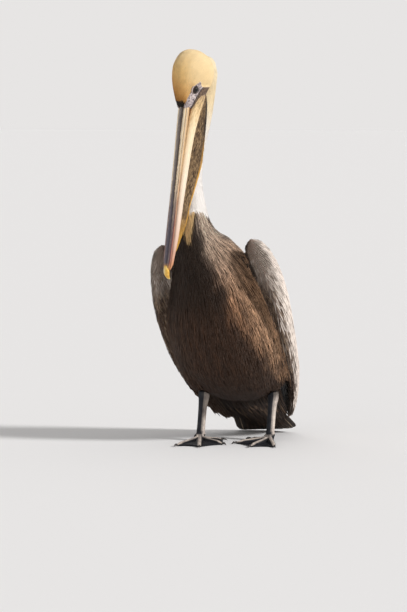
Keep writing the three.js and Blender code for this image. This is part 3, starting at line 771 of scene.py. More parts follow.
def loft(name, rows, attributes=None, cap=True):
    """A mesh over rows of points, each row a closed loop, with numbers at each point for a finish to read."""
    rows = np.asarray(rows, float)
    many, around = rows.shape[:2]
    index = np.arange(many * around).reshape(many, around)
    onward = np.roll(index, -1, axis=1)
    faces = np.stack([index[:-1], onward[:-1], onward[1:], index[1:]], -1).reshape(-1, 4).tolist()
    points = rows.reshape(-1, 3)
    values = {k: np.asarray(v, float).ravel() for k, v in (attributes or {}).items()}
    if cap:
        for ring, turn in ((0, 1), (many - 1, -1)):
            centre = len(points)
            points = np.concatenate([points, rows[ring].mean(0)[None]])
            values = {k: np.append(v, v[index[ring]].mean()) for k, v in values.items()}
            faces += [(index[ring][(j + 1) % around], index[ring][j], centre)[::turn] for j in range(around)]
    mesh = bpy.data.meshes.new(name)
    mesh.from_pydata(points.tolist(), [], [tuple(f) for f in faces])
    mark(mesh, values)
    return smooth_piece(name, mesh)


# A wet cornea gives one sharp highlight over a brown iris with pale spokes.
eye_finish, tree, shader = finish_of("eye_cornea", 0.25, Coat_Weight=1.0, Coat_Roughness=0.03, Coat_IOR=1.34,
                                     Specular_IOR_Level=0.1)
polar, turned = marks_on(tree, "polar", "turned")
spokes = add(tree, "CombineXYZ", links={0: turned, 1: polar})
fibres = add(tree, "TexNoise", links={"Vector": spokes, "Scale": 7.0, "Detail": 3.0})
rings = add(tree, "ValToRGB", links={0: polar}, stops=[
    (IRIS["pupil"] / 90 - 0.01, "#020202"), (IRIS["pupil"] / 90 + 0.01, IRIS["brown"]),
    (IRIS["iris"] / 90 - 0.03, IRIS["brown"]), (IRIS["iris"] / 90 + 0.02, IRIS["rim"]),
    (IRIS["iris"] / 90 + 0.12, IRIS["white"])])
veined = add(tree, "MapRange", links={0: fibres, 1: 0.3, 2: 0.7, 3: 0.55, 4: 1.6})
eye_colour = add(tree, "Mix", TIMES, {0: 1.0, 6: rings, 7: veined})
tree.links.new(result(eye_colour), shader.inputs["Base Color"])

# Bare lid skin is flesh pink, grainy and a little moist, with a dark wet rim round the opening.
lid_finish, tree, shader = finish_of("eyelid_skin", 0.5, Specular_IOR_Level=0.4)
edge, = marks_on(tree, "edge")
grain = add(tree, "TexNoise", links={"Scale": 1 / (LID_GRAIN * MM), "Detail": 3.0})
stain = add(tree, "MapRange", links={0: grain, 1: 0.35, 2: 0.65, 3: 0.78, 4: 1.1})
lid_colour = add(tree, "ValToRGB", links={0: edge}, stops=[
    (0.0, "#1f1718"), (0.035, "#5d4f4d"), (0.1, "#e2d0c8"), (0.36, "#d3c3bc"),
    (0.55, "#a69a99"), (1.0, "#948a8b")])
lid_colour = add(tree, "Mix", TIMES, {0: 1.0, 6: lid_colour, 7: stain})
dress(tree, shader, lid_colour, grain, 0.4, 0.3)

for name, turn in (("left", 1), ("right", -1)):
    centre = np.array(middle("eye_" + name))
    gaze = np.array((LEFTWARD * turn + AHEAD * 0.18 + CROWNWARD * 0.05).normalized())
    along = unit(np.array(AHEAD) - gaze * (gaze @ np.array(AHEAD)))
    upward = np.cross(gaze, along) * turn
    theta = np.linspace(0, math.tau, 48, endpoint=False)
    polars = np.radians(np.linspace(1, 150, 40))
    bulge = CORNEA["bulge"] * np.clip(1 - polars / math.radians(CORNEA["reach"]), 0, 1) ** 0.7
    radius = EYE["radius"] * MM * (1 + bulge) - CORNEA["sunk"] * MM

    def shell(polar, theta, radius):
        """Places round this eye: the angle off its gaze, the angle round that, and how far out."""
        flat = np.cos(theta)[..., None] * along + np.sin(theta)[..., None] * upward
        outward = np.cos(polar)[..., None] * gaze + np.sin(polar)[..., None] * flat
        return centre + radius[..., None] * outward

    p, t = np.meshgrid(polars, theta, indexing="ij")
    ball = loft("eyeball_" + name, shell(p, t, np.broadcast_to(radius[:, None], p.shape)),
                {"polar": p / math.radians(90), "turned": np.sin(t * 9) + 0.5 * np.sin(t * 23 + 1)})
    ball.data.materials.append(eye_finish)
    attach(ball, "root")
    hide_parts("eye_" + name)

    opening = np.radians(LID["opening"][0] * np.cos(theta) ** 2 + LID["opening"][1] * np.sin(theta) ** 2)
    steps = np.array(LID["steps"])
    p = opening[None] + steps[:, None] * (math.radians(LID["back"]) - opening[None])
    swell = LID["over"] + LID["thick"] * np.array(LID["swell"])
    t = np.broadcast_to(theta[None], p.shape)
    outer = shell(p, t, (EYE["radius"] + np.broadcast_to(swell[:, None], p.shape)) * MM)
    inner = shell(p[::-1], t, np.full(p.shape, EYE["radius"] - 0.6) * MM)
    edges = [np.broadcast_to(steps[:, None], p.shape), np.ones(p.shape), np.zeros((1, len(theta)))]
    lid = loft("eyelid_" + name, np.concatenate([outer, inner, outer[:1]]), {"edge": np.concatenate(edges)},
               cap=False)
    lid.data.materials.append(lid_finish)
    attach(lid, "root")


# ---- Bill -------------------------------------------------------------------------------------------------
# Two long horn mandibles. The upper has a rounded ridge down its middle, a groove on each side of it and a
# flank that ends in a sharp edge; plates of old horn lift along it. In the bird the lower is a pair of
# springy bars; here it is one closed body, as wide as the pair, and the gap between them isn't made.

BILL = 310  # from its root to the nail's tip
# Two noises lift the old horn: each one's layer, then its length, width and height in millimetres.
HORN_ROUGH, HORN_PLATE = (0.0, 60, 1.6, 0.16), (7.0, 26, 2.6, 0.14)
# The upper's usual half width and the lower's usual height give the grain its scale.
HORN_HALF, BAR_HEIGHT = 14, 20
HORN_GRAIN, HORN_FIBRE, BAR_GRAIN = (35.2, 1.27), (51.7, 2.03), (12.9, 1.11)  # lengths and widths
# Each row: how far along, half the width, and the height above and below the middle line. For the lower,
# that line's own height comes before these three.
UPPER = np.array([(-16, 13, 9, 4), (6, 15.5, 10, 3.5), (78, 13.6, 8.5, 3), (155, 12, 6.5, 2.5),
                  (232, 11.7, 5, 2.5), (279, 10.5, 4.5, 2.5), (301, 6, 3.6, 2.6)], float)
LOWER = np.array([(-34, -20, 23, 9, 13), (-14, -17, 21.5, 13, 16), (0, -14, 18.5, 11.5, 16),
                  (40, -11, 15.8, 10, 11), (78, -10, 13.6, 9.5, 9), (155, -8.5, 11.4, 8, 7),
                  (232, -7, 9.8, 6, 6.5), (291, -5, 6.5, 3.5, 3.5)], float)


def on_bill(run, wide, high):
    """Rows of places along the bill, from how far to the left and how far up each one is."""
    return np.array([[on_head(a, w, h) for w, h in zip(ws, hs)] for a, ws, hs in zip(run, wide, high)])


def sizes_at(table, run, reach=9.0):
    """A table's sizes at each place along the bill, eased from one station to the next."""
    offsets = np.linspace(-reach, reach, 7)
    return [np.mean([np.interp(run + o, table[:, 0], table[:, k]) for o in offsets], 0)
            for k in range(1, table.shape[1])]


def streaks(points, long, wide):
    """Noise drawn out along the bill, from -1 to 1, over points (ahead, around, layer) in millimetres."""
    places = (Vector((a / long, b / wide, c)) for a, b, c in points)
    return np.array([noise.fractal(p, 0.7, 2.0, 3) for p in places])


run = np.concatenate([np.linspace(-14, 292, 170), 303 - 11 * np.linspace(1, 0, 12)[1:] ** 2])
half, above, below = sizes_at(UPPER, run)
tip = np.sqrt(np.clip((304 - run) / 14, 0, 1))
across = np.sin(np.linspace(-math.pi / 2, math.pi / 2, 45))
off = np.abs(across)
ridge = 0.30 * np.exp(-(off / 0.27) ** 2)
groove = -0.15 * np.exp(-((off - 0.40) / 0.04) ** 2) - 0.10 * np.exp(-((off - 0.72) / 0.035) ** 2)
crown_line = 0.70 * (1 - off ** 3.2) + ridge + groove
under = np.sin(np.linspace(math.pi / 2, -math.pi / 2, 17))[1:-1]
u = np.concatenate([across, under])
lift = np.concatenate([crown_line, -(1 - np.abs(under) ** 4)])
high = np.where(lift[None] >= 0, above[:, None] * lift[None], below[:, None] * lift[None]) * tip[:, None]
wide = (half * tip)[:, None] * u[None]
around = 1.3  # the arc over the ridge is this much longer than it is wide
rough, plate = (streaks([(a, b * h * around, layer) for a, h in zip(run, half) for b in u], long, broad)
                .reshape(high.shape) for layer, long, broad, _ in (HORN_ROUGH, HORN_PLATE))
on_top = np.concatenate([np.ones(len(across)), np.zeros(len(under))])[None]
raised = HORN_ROUGH[3] * rough + HORN_PLATE[3] * ease(plate, 0.05, 0.3)
high = high + on_top * raised * tip[:, None]
curve = 2 - 1.2 * ease(run, 285, 304)[:, None]
upper = loft("mandible_upper", on_bill(run, wide, high + curve)[:, ::-1], {
    "run": np.broadcast_to(run[:, None] / BILL, high.shape)[:, ::-1],
    "off": np.broadcast_to(np.abs(u)[None], high.shape)[:, ::-1],
    "plate": plate[:, ::-1]})

# Worn horn is waxy and uneven, grained along the bill, in bands of grey, cream and brown. The real fibres are
# finer than can be seen, and these are as coarse as they need to be to show.
horn_finish, tree, shader = finish_of("bill_horn", 0.42, Specular_IOR_Level=0.45, Coat_Weight=0.12,
                                      Coat_Roughness=0.35)
run_of, off_of, plate_of = marks_on(tree, "run", "off", "plate")
spread = add(tree, "CombineXYZ", links={0: run_of, 1: off_of, 2: plate_of})
grained = add(tree, "Mapping", links={0: spread, 3: (BILL / HORN_GRAIN[0], HORN_HALF / HORN_GRAIN[1], 3.08)})
grain = add(tree, "TexNoise", links={"Vector": grained, "Scale": 1.0, "Detail": 6.0, "Roughness": 0.65})
fibred = add(tree, "Mapping", links={0: spread, 3: (BILL / HORN_FIBRE[0], HORN_HALF / HORN_FIBRE[1], 2.1)})
fibre = add(tree, "TexNoise", links={"Vector": fibred, "Scale": 1.0, "Detail": 6.0, "Roughness": 0.7})
shifted = add(tree, "MapRange", links={0: grain, 1: 0.3, 2: 0.7, 3: -0.025, 4: 0.025})
off_here = add(tree, "Math", {"operation": "ADD"}, {0: off_of, 1: shifted})
base = add(tree, "ValToRGB", links={0: off_here}, stops=[
    (0.0, "#93867e"), (0.15, "#746860"), (0.27, "#463b34"), (0.35, "#2f2522"),
    (0.40, "#fadcb2"), (0.56, "#fff0d6"), (0.68, "#fad8a6"), (0.73, "#6b422c"),
    (0.78, "#ffe6c4"), (0.97, "#e0b47e"), (1.0, "#54423a")])
end = add(tree, "ValToRGB", links={0: off_here}, stops=[
    (0.0, "#5a505c"), (0.29, "#3c3342"), (0.36, "#2b2228"), (0.43, "#8c7676"),
    (0.56, "#54444c"), (0.69, "#7a5f62"), (0.74, "#3f282f"), (0.84, "#8c4a42"),
    (0.95, "#c98f78"), (1.0, "#6a3a36")])
travelled = add(tree, "MapRange", links={0: run_of, 1: 0.2, 2: 0.8, 3: -0.5, 4: 1.3})
blotched = add(tree, "Math", {"operation": "MULTIPLY_ADD"}, {0: fibre, 1: 4.0, 2: -2.0})
travelled = add(tree, "Math", {"operation": "ADD", "use_clamp": True}, {0: travelled, 1: blotched})
horn = add(tree, "Mix", BLEND, {0: travelled, 6: base, 7: end})
yellow = add(tree, "MapRange", links={0: run_of, 1: 0.91, 2: 0.95})
horn = add(tree, "Mix", BLEND, {0: yellow, 6: horn, 7: tone("#d79a48")})
worn = add(tree, "MapRange", links={0: grain, 1: 0.4, 2: 0.6, 3: 0.4, 4: 1.5})
upper_most = add(tree, "MapRange", links={0: off_of, 1: 0.3, 2: 0.45, 3: 1.0, 4: 0.4})
horn = add(tree, "Mix", TIMES, {0: upper_most, 6: horn, 7: worn})
dull = add(tree, "MapRange", links={0: fibre, 1: 0.3, 2: 0.7, 3: 0.34, 4: 0.6})
tree.links.new(dull.outputs[0], shader.inputs["Roughness"])
dress(tree, shader, horn, fibre, 0.5, 0.4)
upper.data.materials.append(horn_finish)
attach(upper, "root")
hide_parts("bill_upper")

run = np.concatenate([np.linspace(-34, 284, 150), 294 - 10 * np.linspace(1, 0, 10)[1:] ** 2])
rise, half, above, below = sizes_at(LOWER, run)
tip = np.sqrt(np.clip((295 - run) / 12, 0, 1)) * np.sqrt(np.clip((run + 37) / 10, 0, 1))
theta = np.linspace(0, math.tau, 56, endpoint=False)
boxy = 0.72  # 1 would make the section an ellipse
u, v = (np.sign(way) * np.abs(way) ** boxy for way in (np.cos(theta), np.sin(theta)))
flank = 1 - 0.10 * np.exp(-((v + 0.15) / 0.22) ** 2)  # a shallow channel runs down each flank
wide = (half * tip)[:, None] * (u * flank)[None]
high = np.where(v[None] > 0, above[:, None], below[:, None]) * v[None] * tip[:, None]
plate = streaks([(a, 3 * math.cos(t), 3 * math.sin(t)) for a in run for t in theta], 30, 1.0)
plate = plate.reshape(high.shape)
wide = wide + np.cos(theta)[None] * 0.25 * plate
lower = loft("mandible_lower", on_bill(run, wide, high + rise[:, None]), {
    "run": np.broadcast_to(run[:, None] / BILL, high.shape),
    "off": np.broadcast_to((np.sin(theta)[None] + 1) / 2, high.shape), "plate": plate})
# The lower is smoother and paler horn, cream to flesh pink, with a brown root; along its top edge, under the
# upper, and along its underside it is painted darker as painted shade.
bar_finish, tree, shader = finish_of("bill_bar_horn", 0.45, Specular_IOR_Level=0.4, Coat_Weight=0.1,
                                     Coat_Roughness=0.35)
run_of, off_of, plate_of = marks_on(tree, "run", "off", "plate")
spread = add(tree, "CombineXYZ", links={0: run_of, 1: off_of, 2: plate_of})
grained = add(tree, "Mapping", links={0: spread, 3: (BILL / BAR_GRAIN[0], BAR_HEIGHT / BAR_GRAIN[1], 3.0)})
grain = add(tree, "TexNoise", links={"Vector": grained, "Scale": 1.0, "Detail": 6.0, "Roughness": 0.6})
wander = add(tree, "Math", {"operation": "MULTIPLY_ADD"}, {0: grain, 1: 0.34, 2: -0.17})
along = add(tree, "Math", {"operation": "ADD"}, {0: run_of, 1: wander})
bar = add(tree, "ValToRGB", links={0: along}, stops=[
    (0.0, "#e2c08c"), (0.12, "#f3dcb4"), (0.45, "#f3e0c8"), (0.64, "#ead2bd"),
    (0.8, "#dcbaa6"), (0.92, "#cd8c68"), (0.98, "#dfa660")])
height = add(tree, "Math", {"operation": "ADD"}, {0: off_of, 1: wander})
# Painted shade along the top edge and the underside.
shade = add(tree, "ValToRGB", links={0: height}, stops=[
    (0.0, "#a8917a"), (0.16, "#d9c8b0"), (0.32, "#ffffff"), (0.89, "#ffffff"),
    (0.95, "#a08470"), (1.0, "#33261f")])
bar = add(tree, "Mix", TIMES, {0: 1.0, 6: bar, 7: shade})
rooted = add(tree, "MapRange", links={0: along, 1: -0.1, 2: 0.0, 3: 0.85, 4: 0.0})
bar = add(tree, "Mix", BLEND, {0: rooted, 6: bar, 7: tone("#705642")})
worn = add(tree, "MapRange", links={0: grain, 1: 0.3, 2: 0.7, 3: 0.8, 4: 1.12})
bar = add(tree, "Mix", TIMES, {0: 1.0, 6: bar, 7: worn})
dress(tree, shader, bar, grain, 0.4, 0.4)
lower.data.materials.append(bar_finish)
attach(lower, "root")
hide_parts("bill_lower")

# Each row: how far along, how far up, half its width and half its height.
NAIL = np.array([(280, 3.0, 0.6, 0.6), (286, 3.4, 3.0, 2.6), (292, 2.8, 5.4, 4.0), (298, 1.2, 6.4, 4.6),
                 (303, -0.8, 5.2, 4.2), (306.5, -3.2, 3.6, 3.2), (309, -6.2, 2.0, 2.0),
                 (310, -9, 0.5, 0.5)], float)
NAIL_CLOUD = 9.1  # its cloudy patches, in millimetres


def swept(name, path, halves, tall, around=24, rows=30):
    """A smooth tapering body along a curve in one plane: `path` gives its middle and `halves` its sizes."""
    t = np.linspace(0, len(path) - 1, rows)
    stations = np.arange(len(path))
    middle_at, size = (np.stack([np.interp(t, stations, column) for column in columns], 1)
                       for columns in (path.T, (halves, tall)))
    for values in (middle_at, size) * 3:
        values[1:-1] = 0.25 * values[:-2] + 0.5 * values[1:-1] + 0.25 * values[2:]
    way = unit(np.gradient(middle_at, axis=0))
    flat = unit(np.cross(middle_at[-1] - middle_at[0], middle_at[rows // 2] - middle_at[0]))
    over = np.cross(flat, way)
    theta = np.linspace(0, math.tau, around, endpoint=False)
    rows_at = (middle_at[:, None] + flat * (size[:, :1] * np.cos(theta))[..., None]
               + over[:, None] * (size[:, 1:] * np.sin(theta))[..., None])
    return loft(name, rows_at)


nail_line = np.array([on_head(a, 0, d) for a, d in NAIL[:, :2]])
nail = swept("bill_nail", nail_line, NAIL[:, 2] * MM, NAIL[:, 3] * MM)
# The nail is hard clear horn: amber, cloudy and the shiniest part of the bill.
nail_finish, tree, shader = finish_of("nail_horn", 0.35, Specular_IOR_Level=0.5, Coat_Weight=0.2,
                                      Coat_Roughness=0.2)
cloud = add(tree, "TexNoise", links={"Scale": 1 / (NAIL_CLOUD * MM), "Detail": 3.0})
amber = add(tree, "ValToRGB", links={0: cloud}, stops=[
    (0.3, "#d79b38"), (0.5, "#ecc055"), (0.7, "#f8e6b0")])
dress(tree, shader, amber, cloud, 0.3, 0.3)
nail.data.materials.append(nail_finish)
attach(nail, "root")
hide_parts("bill_hook")

# ---- Pouch ------------------------------------------------------------------------------------------------
# A bag of thin bare skin, made here as one closed body, hangs under the lower mandible and narrows to a
# keel. Empty, it falls into long close wrinkles, olive brown, with an ochre rim along the keel.

# Each row: how far along, the middle's height, half the width, and the height above and below that middle.
POUCH = np.array([(-40, -30, 14, 8, 12), (-12, -28, 12.5, 8, 23), (22, -25, 11.5, 8, 29),
                  (62, -21, 10.5, 8, 34), (96, -19, 9.5, 7, 36), (133, -17, 8.5, 6, 30),
                  (170, -15, 7.5, 6, 23), (208, -13, 7, 5, 20), (242, -11, 6, 4, 11),
                  (267, -9, 4.5, 3, 5)], float)
WRINKLE = {"long": 17, "slant": 30, "apart": 3.2}  # its length, its fall and its width, in millimetres
SKIN_PATCH = 22.2  # the leather's paler and darker patches, in millimetres
LEATHER_GRAIN = (6.9, 0.95)  # its grain along the bill and down it, coarser than real so that it shows
run = np.linspace(-40, 267, 260)
rise, half, above, below = sizes_at(POUCH, run, 7)
tip = np.sqrt(np.clip((run + 42) / 14, 0, 1)) * np.sqrt(np.clip((269 - run) / 14, 0, 1))
theta = np.linspace(0, math.tau, 88, endpoint=False) + math.pi / 2
sink = np.sin(theta)
keel = np.where(sink < 0, 1 - 0.35 * np.abs(sink) ** 1.5, 1.0)
wide = (half * tip)[:, None] * (np.cos(theta) * keel)[None]
high = np.where(sink[None] > 0, above[:, None], below[:, None]) * sink[None] * tip[:, None]
spots = [(a, h) for a, hs in zip(run, high) for h in hs]
folds = [Vector((a / WRINKLE["long"] + h / WRINKLE["slant"], 0.0, h / WRINKLE["apart"])) for a, h in spots]
folds = np.array([noise.ridged_multi_fractal(f, 0.8, 2.1, 3, 1.0, 2.0) for f in folds]).reshape(high.shape)
crossing = np.array([noise.noise(Vector((a / 5, 3.0, h / 3))) for a, h in spots])
relief = 0.75 * (folds - 1.1) + 0.25 * crossing.reshape(high.shape)
normal_w, normal_h = np.cos(theta)[None], 0.5 * np.sin(theta)[None]
wide, high = wide + relief * normal_w, high + relief * normal_h
pouch = loft("pouch_skin", on_bill(run, wide, high + rise[:, None]), {
    "fold": relief, "keel": np.broadcast_to(np.maximum(0, -sink)[None], high.shape),
    "run": np.broadcast_to(run[:, None] / BILL, high.shape), "drop": high})
# Dry bare skin looks like soft matt leather, painted dark in the folds as painted shade and paler on their
# ridges as painted light.
pouch_finish, tree, shader = finish_of("pouch_leather", 0.62, Specular_IOR_Level=0.2)
fold, keel_of, run_of, drop_of = marks_on(tree, "fold", "keel", "run", "drop")
laid = add(tree, "CombineXYZ", links={0: run_of, 1: drop_of})
drawn = add(tree, "Mapping", links={0: laid, 3: (BILL / LEATHER_GRAIN[0], 1 / LEATHER_GRAIN[1], 1.0)})
grain = add(tree, "TexNoise", links={"Vector": drawn, "Scale": 1.0, "Detail": 4.0, "Roughness": 0.55})
patchy = add(tree, "TexNoise", links={"Scale": 1 / (SKIN_PATCH * MM), "Detail": 3.0})
# Painted shade in the folds and painted light on the ridges, from the folds' relief.
spread = add(tree, "MapRange", links={0: fold, 1: -0.8, 2: 0.6, 3: 0.12, 4: 0.42})
height = add(tree, "Math", {"operation": "ADD"}, {0: grain, 1: spread})
leather = add(tree, "ValToRGB", links={0: height}, stops=[
    (0.58, "#1c120b"), (0.7, "#3f2e1e"), (0.82, "#6c543a"), (0.98, "#a88c66")])
rimmed = add(tree, "MapRange", links={0: keel_of, 1: 0.76, 2: 0.88})
onward = add(tree, "MapRange", links={0: run_of, 1: 0.12, 2: 0.4, 3: 0.0, 4: 1.0})
rimmed = add(tree, "Math", {"operation": "MULTIPLY"}, {0: rimmed, 1: onward})
ending = add(tree, "MapRange", links={0: run_of, 1: 0.62, 2: 0.8, 3: 0.0, 4: 0.85})
rimmed = add(tree, "Math", {"operation": "MAXIMUM"}, {0: rimmed, 1: ending})
# Near the jaw the lower pouch goes near black: partly dark bare skin, partly a painted shadow in the gap
# against the neck.
jaw = add(tree, "MapRange", links={0: run_of, 1: 0.06, 2: 0.3, 3: 1.0, 4: 0.0})
nearer = add(tree, "MapRange", links={0: keel_of, 1: 0.45, 2: 0.8})
shadowed = add(tree, "Math", {"operation": "MULTIPLY"}, {0: jaw, 1: nearer})
leather = add(tree, "Mix", BLEND, {0: shadowed, 6: leather, 7: tone("#140d09")})
leather = add(tree, "Mix", BLEND, {0: rimmed, 6: leather, 7: tone("#cf9a3e")})
mottle = add(tree, "MapRange", links={0: patchy, 1: 0.3, 2: 0.7, 3: 0.8, 4: 1.15})
leather = add(tree, "Mix", TIMES, {0: 1.0, 6: leather, 7: mottle})
dress(tree, shader, leather, grain, 0.6, 0.5)
pouch.data.materials.append(pouch_finish)
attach(pouch, "root")
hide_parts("pouch")

# ---- Wing coverts and scapulars ---------------------------------------------------------------------------
# The folded wing is tiled from the wrist down: small dark scale-like coverts with silver rims, then ever
# longer silver plumes with dark edges that sweep down over the flight feathers.

WING_LINE = [(81, -92, 384), (88, -60, 341), (94, -8, 277), (93, 42, 206), (85, 90, 132), (69, 132, 71),
             (51, 168, 26)]
STAND_OFF = {"left": [10, 12, 9, 7, 6, 3, 0], "right": [0] * 7}  # the left wing hangs this far out
WING_LENGTH = 440
ACROSS_WING = Vector((0.55, -0.68, -0.48))
# On the bird's right wing the dark of the inner plumes reaches further out, as painted shade.
PAINTED_SHADE_REACH = {"left": 0, "right": 0.3}  # how much further out the dark inner plumes begin, in radians
# Each size over the share of the way down the wing.
COVERT = {"length": ([0, 0.06, 0.14, 0.25, 0.4, 1], [8, 12, 24, 56, 88, 100]),
          "half": ([0, 0.06, 0.14, 0.3, 0.55, 1], [1.5, 2.0, 2.5, 3.2, 4.0, 5.0]),
          "spacing": ([0, 0.06, 0.15, 0.4, 1], [2.2, 2.7, 3.3, 4.3, 5.4])}
WING = {"wrist": "#4f4239", "wrist_rim": "#c9bbad", "silver": "#faece0", "silver_rim": "#78655a",
        "brown": "#4d3a2e", "brown_rim": "#251b15", "lining": "#372b23", "chevron": "#c6ad92"}

# Plumes of the wing are close webbed and silky, with pale shafts and narrow rims.
covert_finish = feather_finish("covert_feather", 0.58, 0.9, ("#f4e8da", 0.3), 3.0, 70)
for hand, turn in (("left", 1), ("right", -1)):
    guide = guide_through([leaned(turn * (x + gap), y, z)
                           for (x, y, z), gap in zip(WING_LINE, STAND_OFF[hand])])
    roots = scatter("wing_" + hand,
                    lambda p: np.interp(guide["share"][near_on(guide, p)], *COVERT["spacing"]),
                    lambda p: guide["share"][near_on(guide, p)] < 0.93)
    share, angle = round_guide(guide, roots, Vector((turn, 0.0, 0.15)))
    vary = rng.uniform(0.85, 1.15, len(roots))
    length = np.minimum(np.interp(share, *COVERT["length"]) * vary, (1 - share) * WING_LENGTH + 10)
    half = np.interp(share, *COVERT["half"]) * MM * vary
    edge = angle * turn  # 0 on the outer face, rising to the leading edge and the side next to the body
    rough = 0.12 * clumps(roots, 9, 4.0)
    silver = ease(share + 0.11 - 0.12 * ease(edge, 0.4, 1.05) + rough, 0.06, 0.26)
    # Painted shade: on the right wing the dark starts further out.
    dark = ease(edge + PAINTED_SHADE_REACH[hand] + rough * 3, 1.06, 1.28) * ease(share, 0.1, 0.22)
    far = ease(share - 0.05 * edge, 0.78, 0.9)
    centre = towards(WING["wrist"], WING["silver"], silver)
    rim = towards(WING["wrist_rim"], WING["silver_rim"], silver)
    for part in (dark, far):
        centre, rim = towards(centre, WING["brown"], part), towards(rim, WING["brown_rim"], part)
    rim = towards(rim, WING["chevron"], dark * (rng.random(len(roots)) < 0.45) * (share < 0.6))
    inside = ease(np.abs(angle), 2.1, 2.6)
    centre, rim = towards(centre, WING["lining"], inside), towards(rim, WING["brown_rim"], inside)
    inner = ease(edge, 0.75, 1.15)  # shorter and narrower from the leading edge inwards
    length, half = length * (1 - 0.55 * inner), half * (1 - 0.4 * inner)
    lift = np.minimum(2.9, 0.8 + 0.07 * length) * rng.uniform(0.75, 1.15, len(roots))
    for _ in range(2):  # a plume that would stand off the wing is laid again much shorter
        line, out, side, loose = lay(roots, guide, length, lift, 8, 0.04)
        length = np.where(loose > 5, length * 0.4, length)
    along = (unit(line[-1] - line[0]) * guide["way"][near_on(guide, roots)]).sum(1)
    mine = (loose < np.where((share > 0.8) & (np.abs(angle) < 1.2), 20, 6)) & ((along > 0.6) | (share < 0.2))
    coat = vanes("coverts_" + hand, line[:, mine], out[:, mine], side[:, mine],
                 leaf(8, 0.4, 0.5)[:, None] * half[mine][None], 0.3 * MM, varied(centre[mine], 0.09),
                 varied(rim[mine], 0.12), patch_of(angle[mine], share[mine]))
    coat.data.materials.append(covert_finish)
    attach(coat, "root")


# ---- Flight feathers and tail -----------------------------------------------------------------------------
# Stiff quills: the folded primaries lie in a stack at each wing tip, and the short tail is a shallow fan
# that comes down to just over the floor. Blackish brown webs on pale shafts.

QUILL = {"web": "#2e251f", "rim": "#5d4c3f", "shaft": "#c9b398"}
PRIMARY = {"root": (86, 100, 96), "tip": (54, 190, 8), "count": 10, "rings": 18, "bow": 5,
           "inward": 4.2, "back": 0.4, "up": 1.2,  # from each quill to the next one in
           "shorter": 7,  # from each quill to the next one out
           "half": ([0, 0.4, 0.75, 0.93, 0.98, 1], [9, 11.5, 9, 6, 3.5, 0]),  # half widths over the length
           "floor": (1.6, 0.4)}  # the outermost quill's gap over the floor, and what each next one in adds
TAIL = {"root": (0, 112, 62), "tip": (0, 206, 0), "spread": 12, "count": 14, "side": 34, "rings": 16,
        "half": ([-0.25, 0.2, 0.6, 0.88, 0.96, 0.99, 1], [4, 9, 12.5, 12, 9, 5, 0]),
        "rise": ([0, 0.45, 0.85, 1], [1, 3.5, 2.4, 1.6]),  # each quill arches a little
        "shorter": 0.12, "lower": 5,  # the outermost quills, as a share of the length and in millimetres
        "floor": (1.0, 2.2),  # the outermost quills' gap over the floor, and what the middle adds
        "uneven": (0.03, 0.04)}  # how far lengths and angles differ at random, as shares
# Stiff smooth webs have a dull gloss and a strong pale shaft.
quill_finish = feather_finish("quill_feather", 0.7, 0.97, (QUILL["shaft"], 0.6), 3.0, 110, 0.5)


def all_of(hex_colour, count):
    return np.tile(tone(hex_colour)[:3], (count, 1))


def quills(name, lines, ups, sides, halves, camber=0.1):
    """A stack of quills as one piece, from each one's line, outward and sideways ways and half widths."""
    count = len(lines)
    lines, ups, sides, halves = (np.stack(rows, 1) for rows in (lines, ups, sides, halves))
    webs, rims = varied(all_of(QUILL["web"], count), 0.12), varied(all_of(QUILL["rim"], count), 0.12)
    patch = np.stack([np.linspace(0.1, 0.9, count), np.full(count, 0.5)], 1)
    made = vanes(name, lines, ups, sides, halves, 0.7 * MM, webs, rims, patch, 9, camber, 0.12)
    made.data.materials.append(quill_finish)
    return made


for hand, turn in (("left", 1), ("right", -1)):
    lines, ups, sides, halves = [], [], [], []
    for i in range(PRIMARY["count"]):
        root, tip = (Vector((turn * x, y, z)) for x, y, z in (PRIMARY["root"], PRIMARY["tip"]))
        way = (tip - root).normalized()
        layer = PRIMARY["count"] - 1 - i  # the longest lies innermost and each shorter one over it
        shift = Vector((turn * -PRIMARY["inward"] * layer, PRIMARY["back"] * layer, PRIMARY["up"] * layer))
        share = 1 - np.linspace(1, 0, PRIMARY["rings"]) ** 1.5  # closer rings round the blunt tip
        bow = np.sin(share * math.pi) * PRIMARY["bow"] * turn
        end = tip - way * PRIMARY["shorter"] * i
        places = [root.lerp(end, s) + shift + Vector((b, 0, 0)) for s, b in zip(share, bow)]
        line = np.array([leaned(*p) for p in places])
        line[:, 2] = np.maximum(line[:, 2], (PRIMARY["floor"][0] + PRIMARY["floor"][1] * layer) * MM)
        over = Vector((turn * ACROSS_WING.x, ACROSS_WING.y, ACROSS_WING.z))
        over = unit(np.array(leaned(*over) - leaned(0, 0, 0)))
        path = unit(np.gradient(line, axis=0))
        wide = unit(over - path * (path @ over)[:, None])
        up = np.cross(path, wide)
        up = up * np.sign(up[:, :1] * turn)
        lines.append(line)
        ups.append(up)
        sides.append(np.cross(path, up))
        halves.append(np.interp(share, *PRIMARY["half"]) * MM)
    made = quills("primaries_" + hand, lines, ups, sides, halves)
    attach(made, "root")
    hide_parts("wing_" + hand + "_primaries")

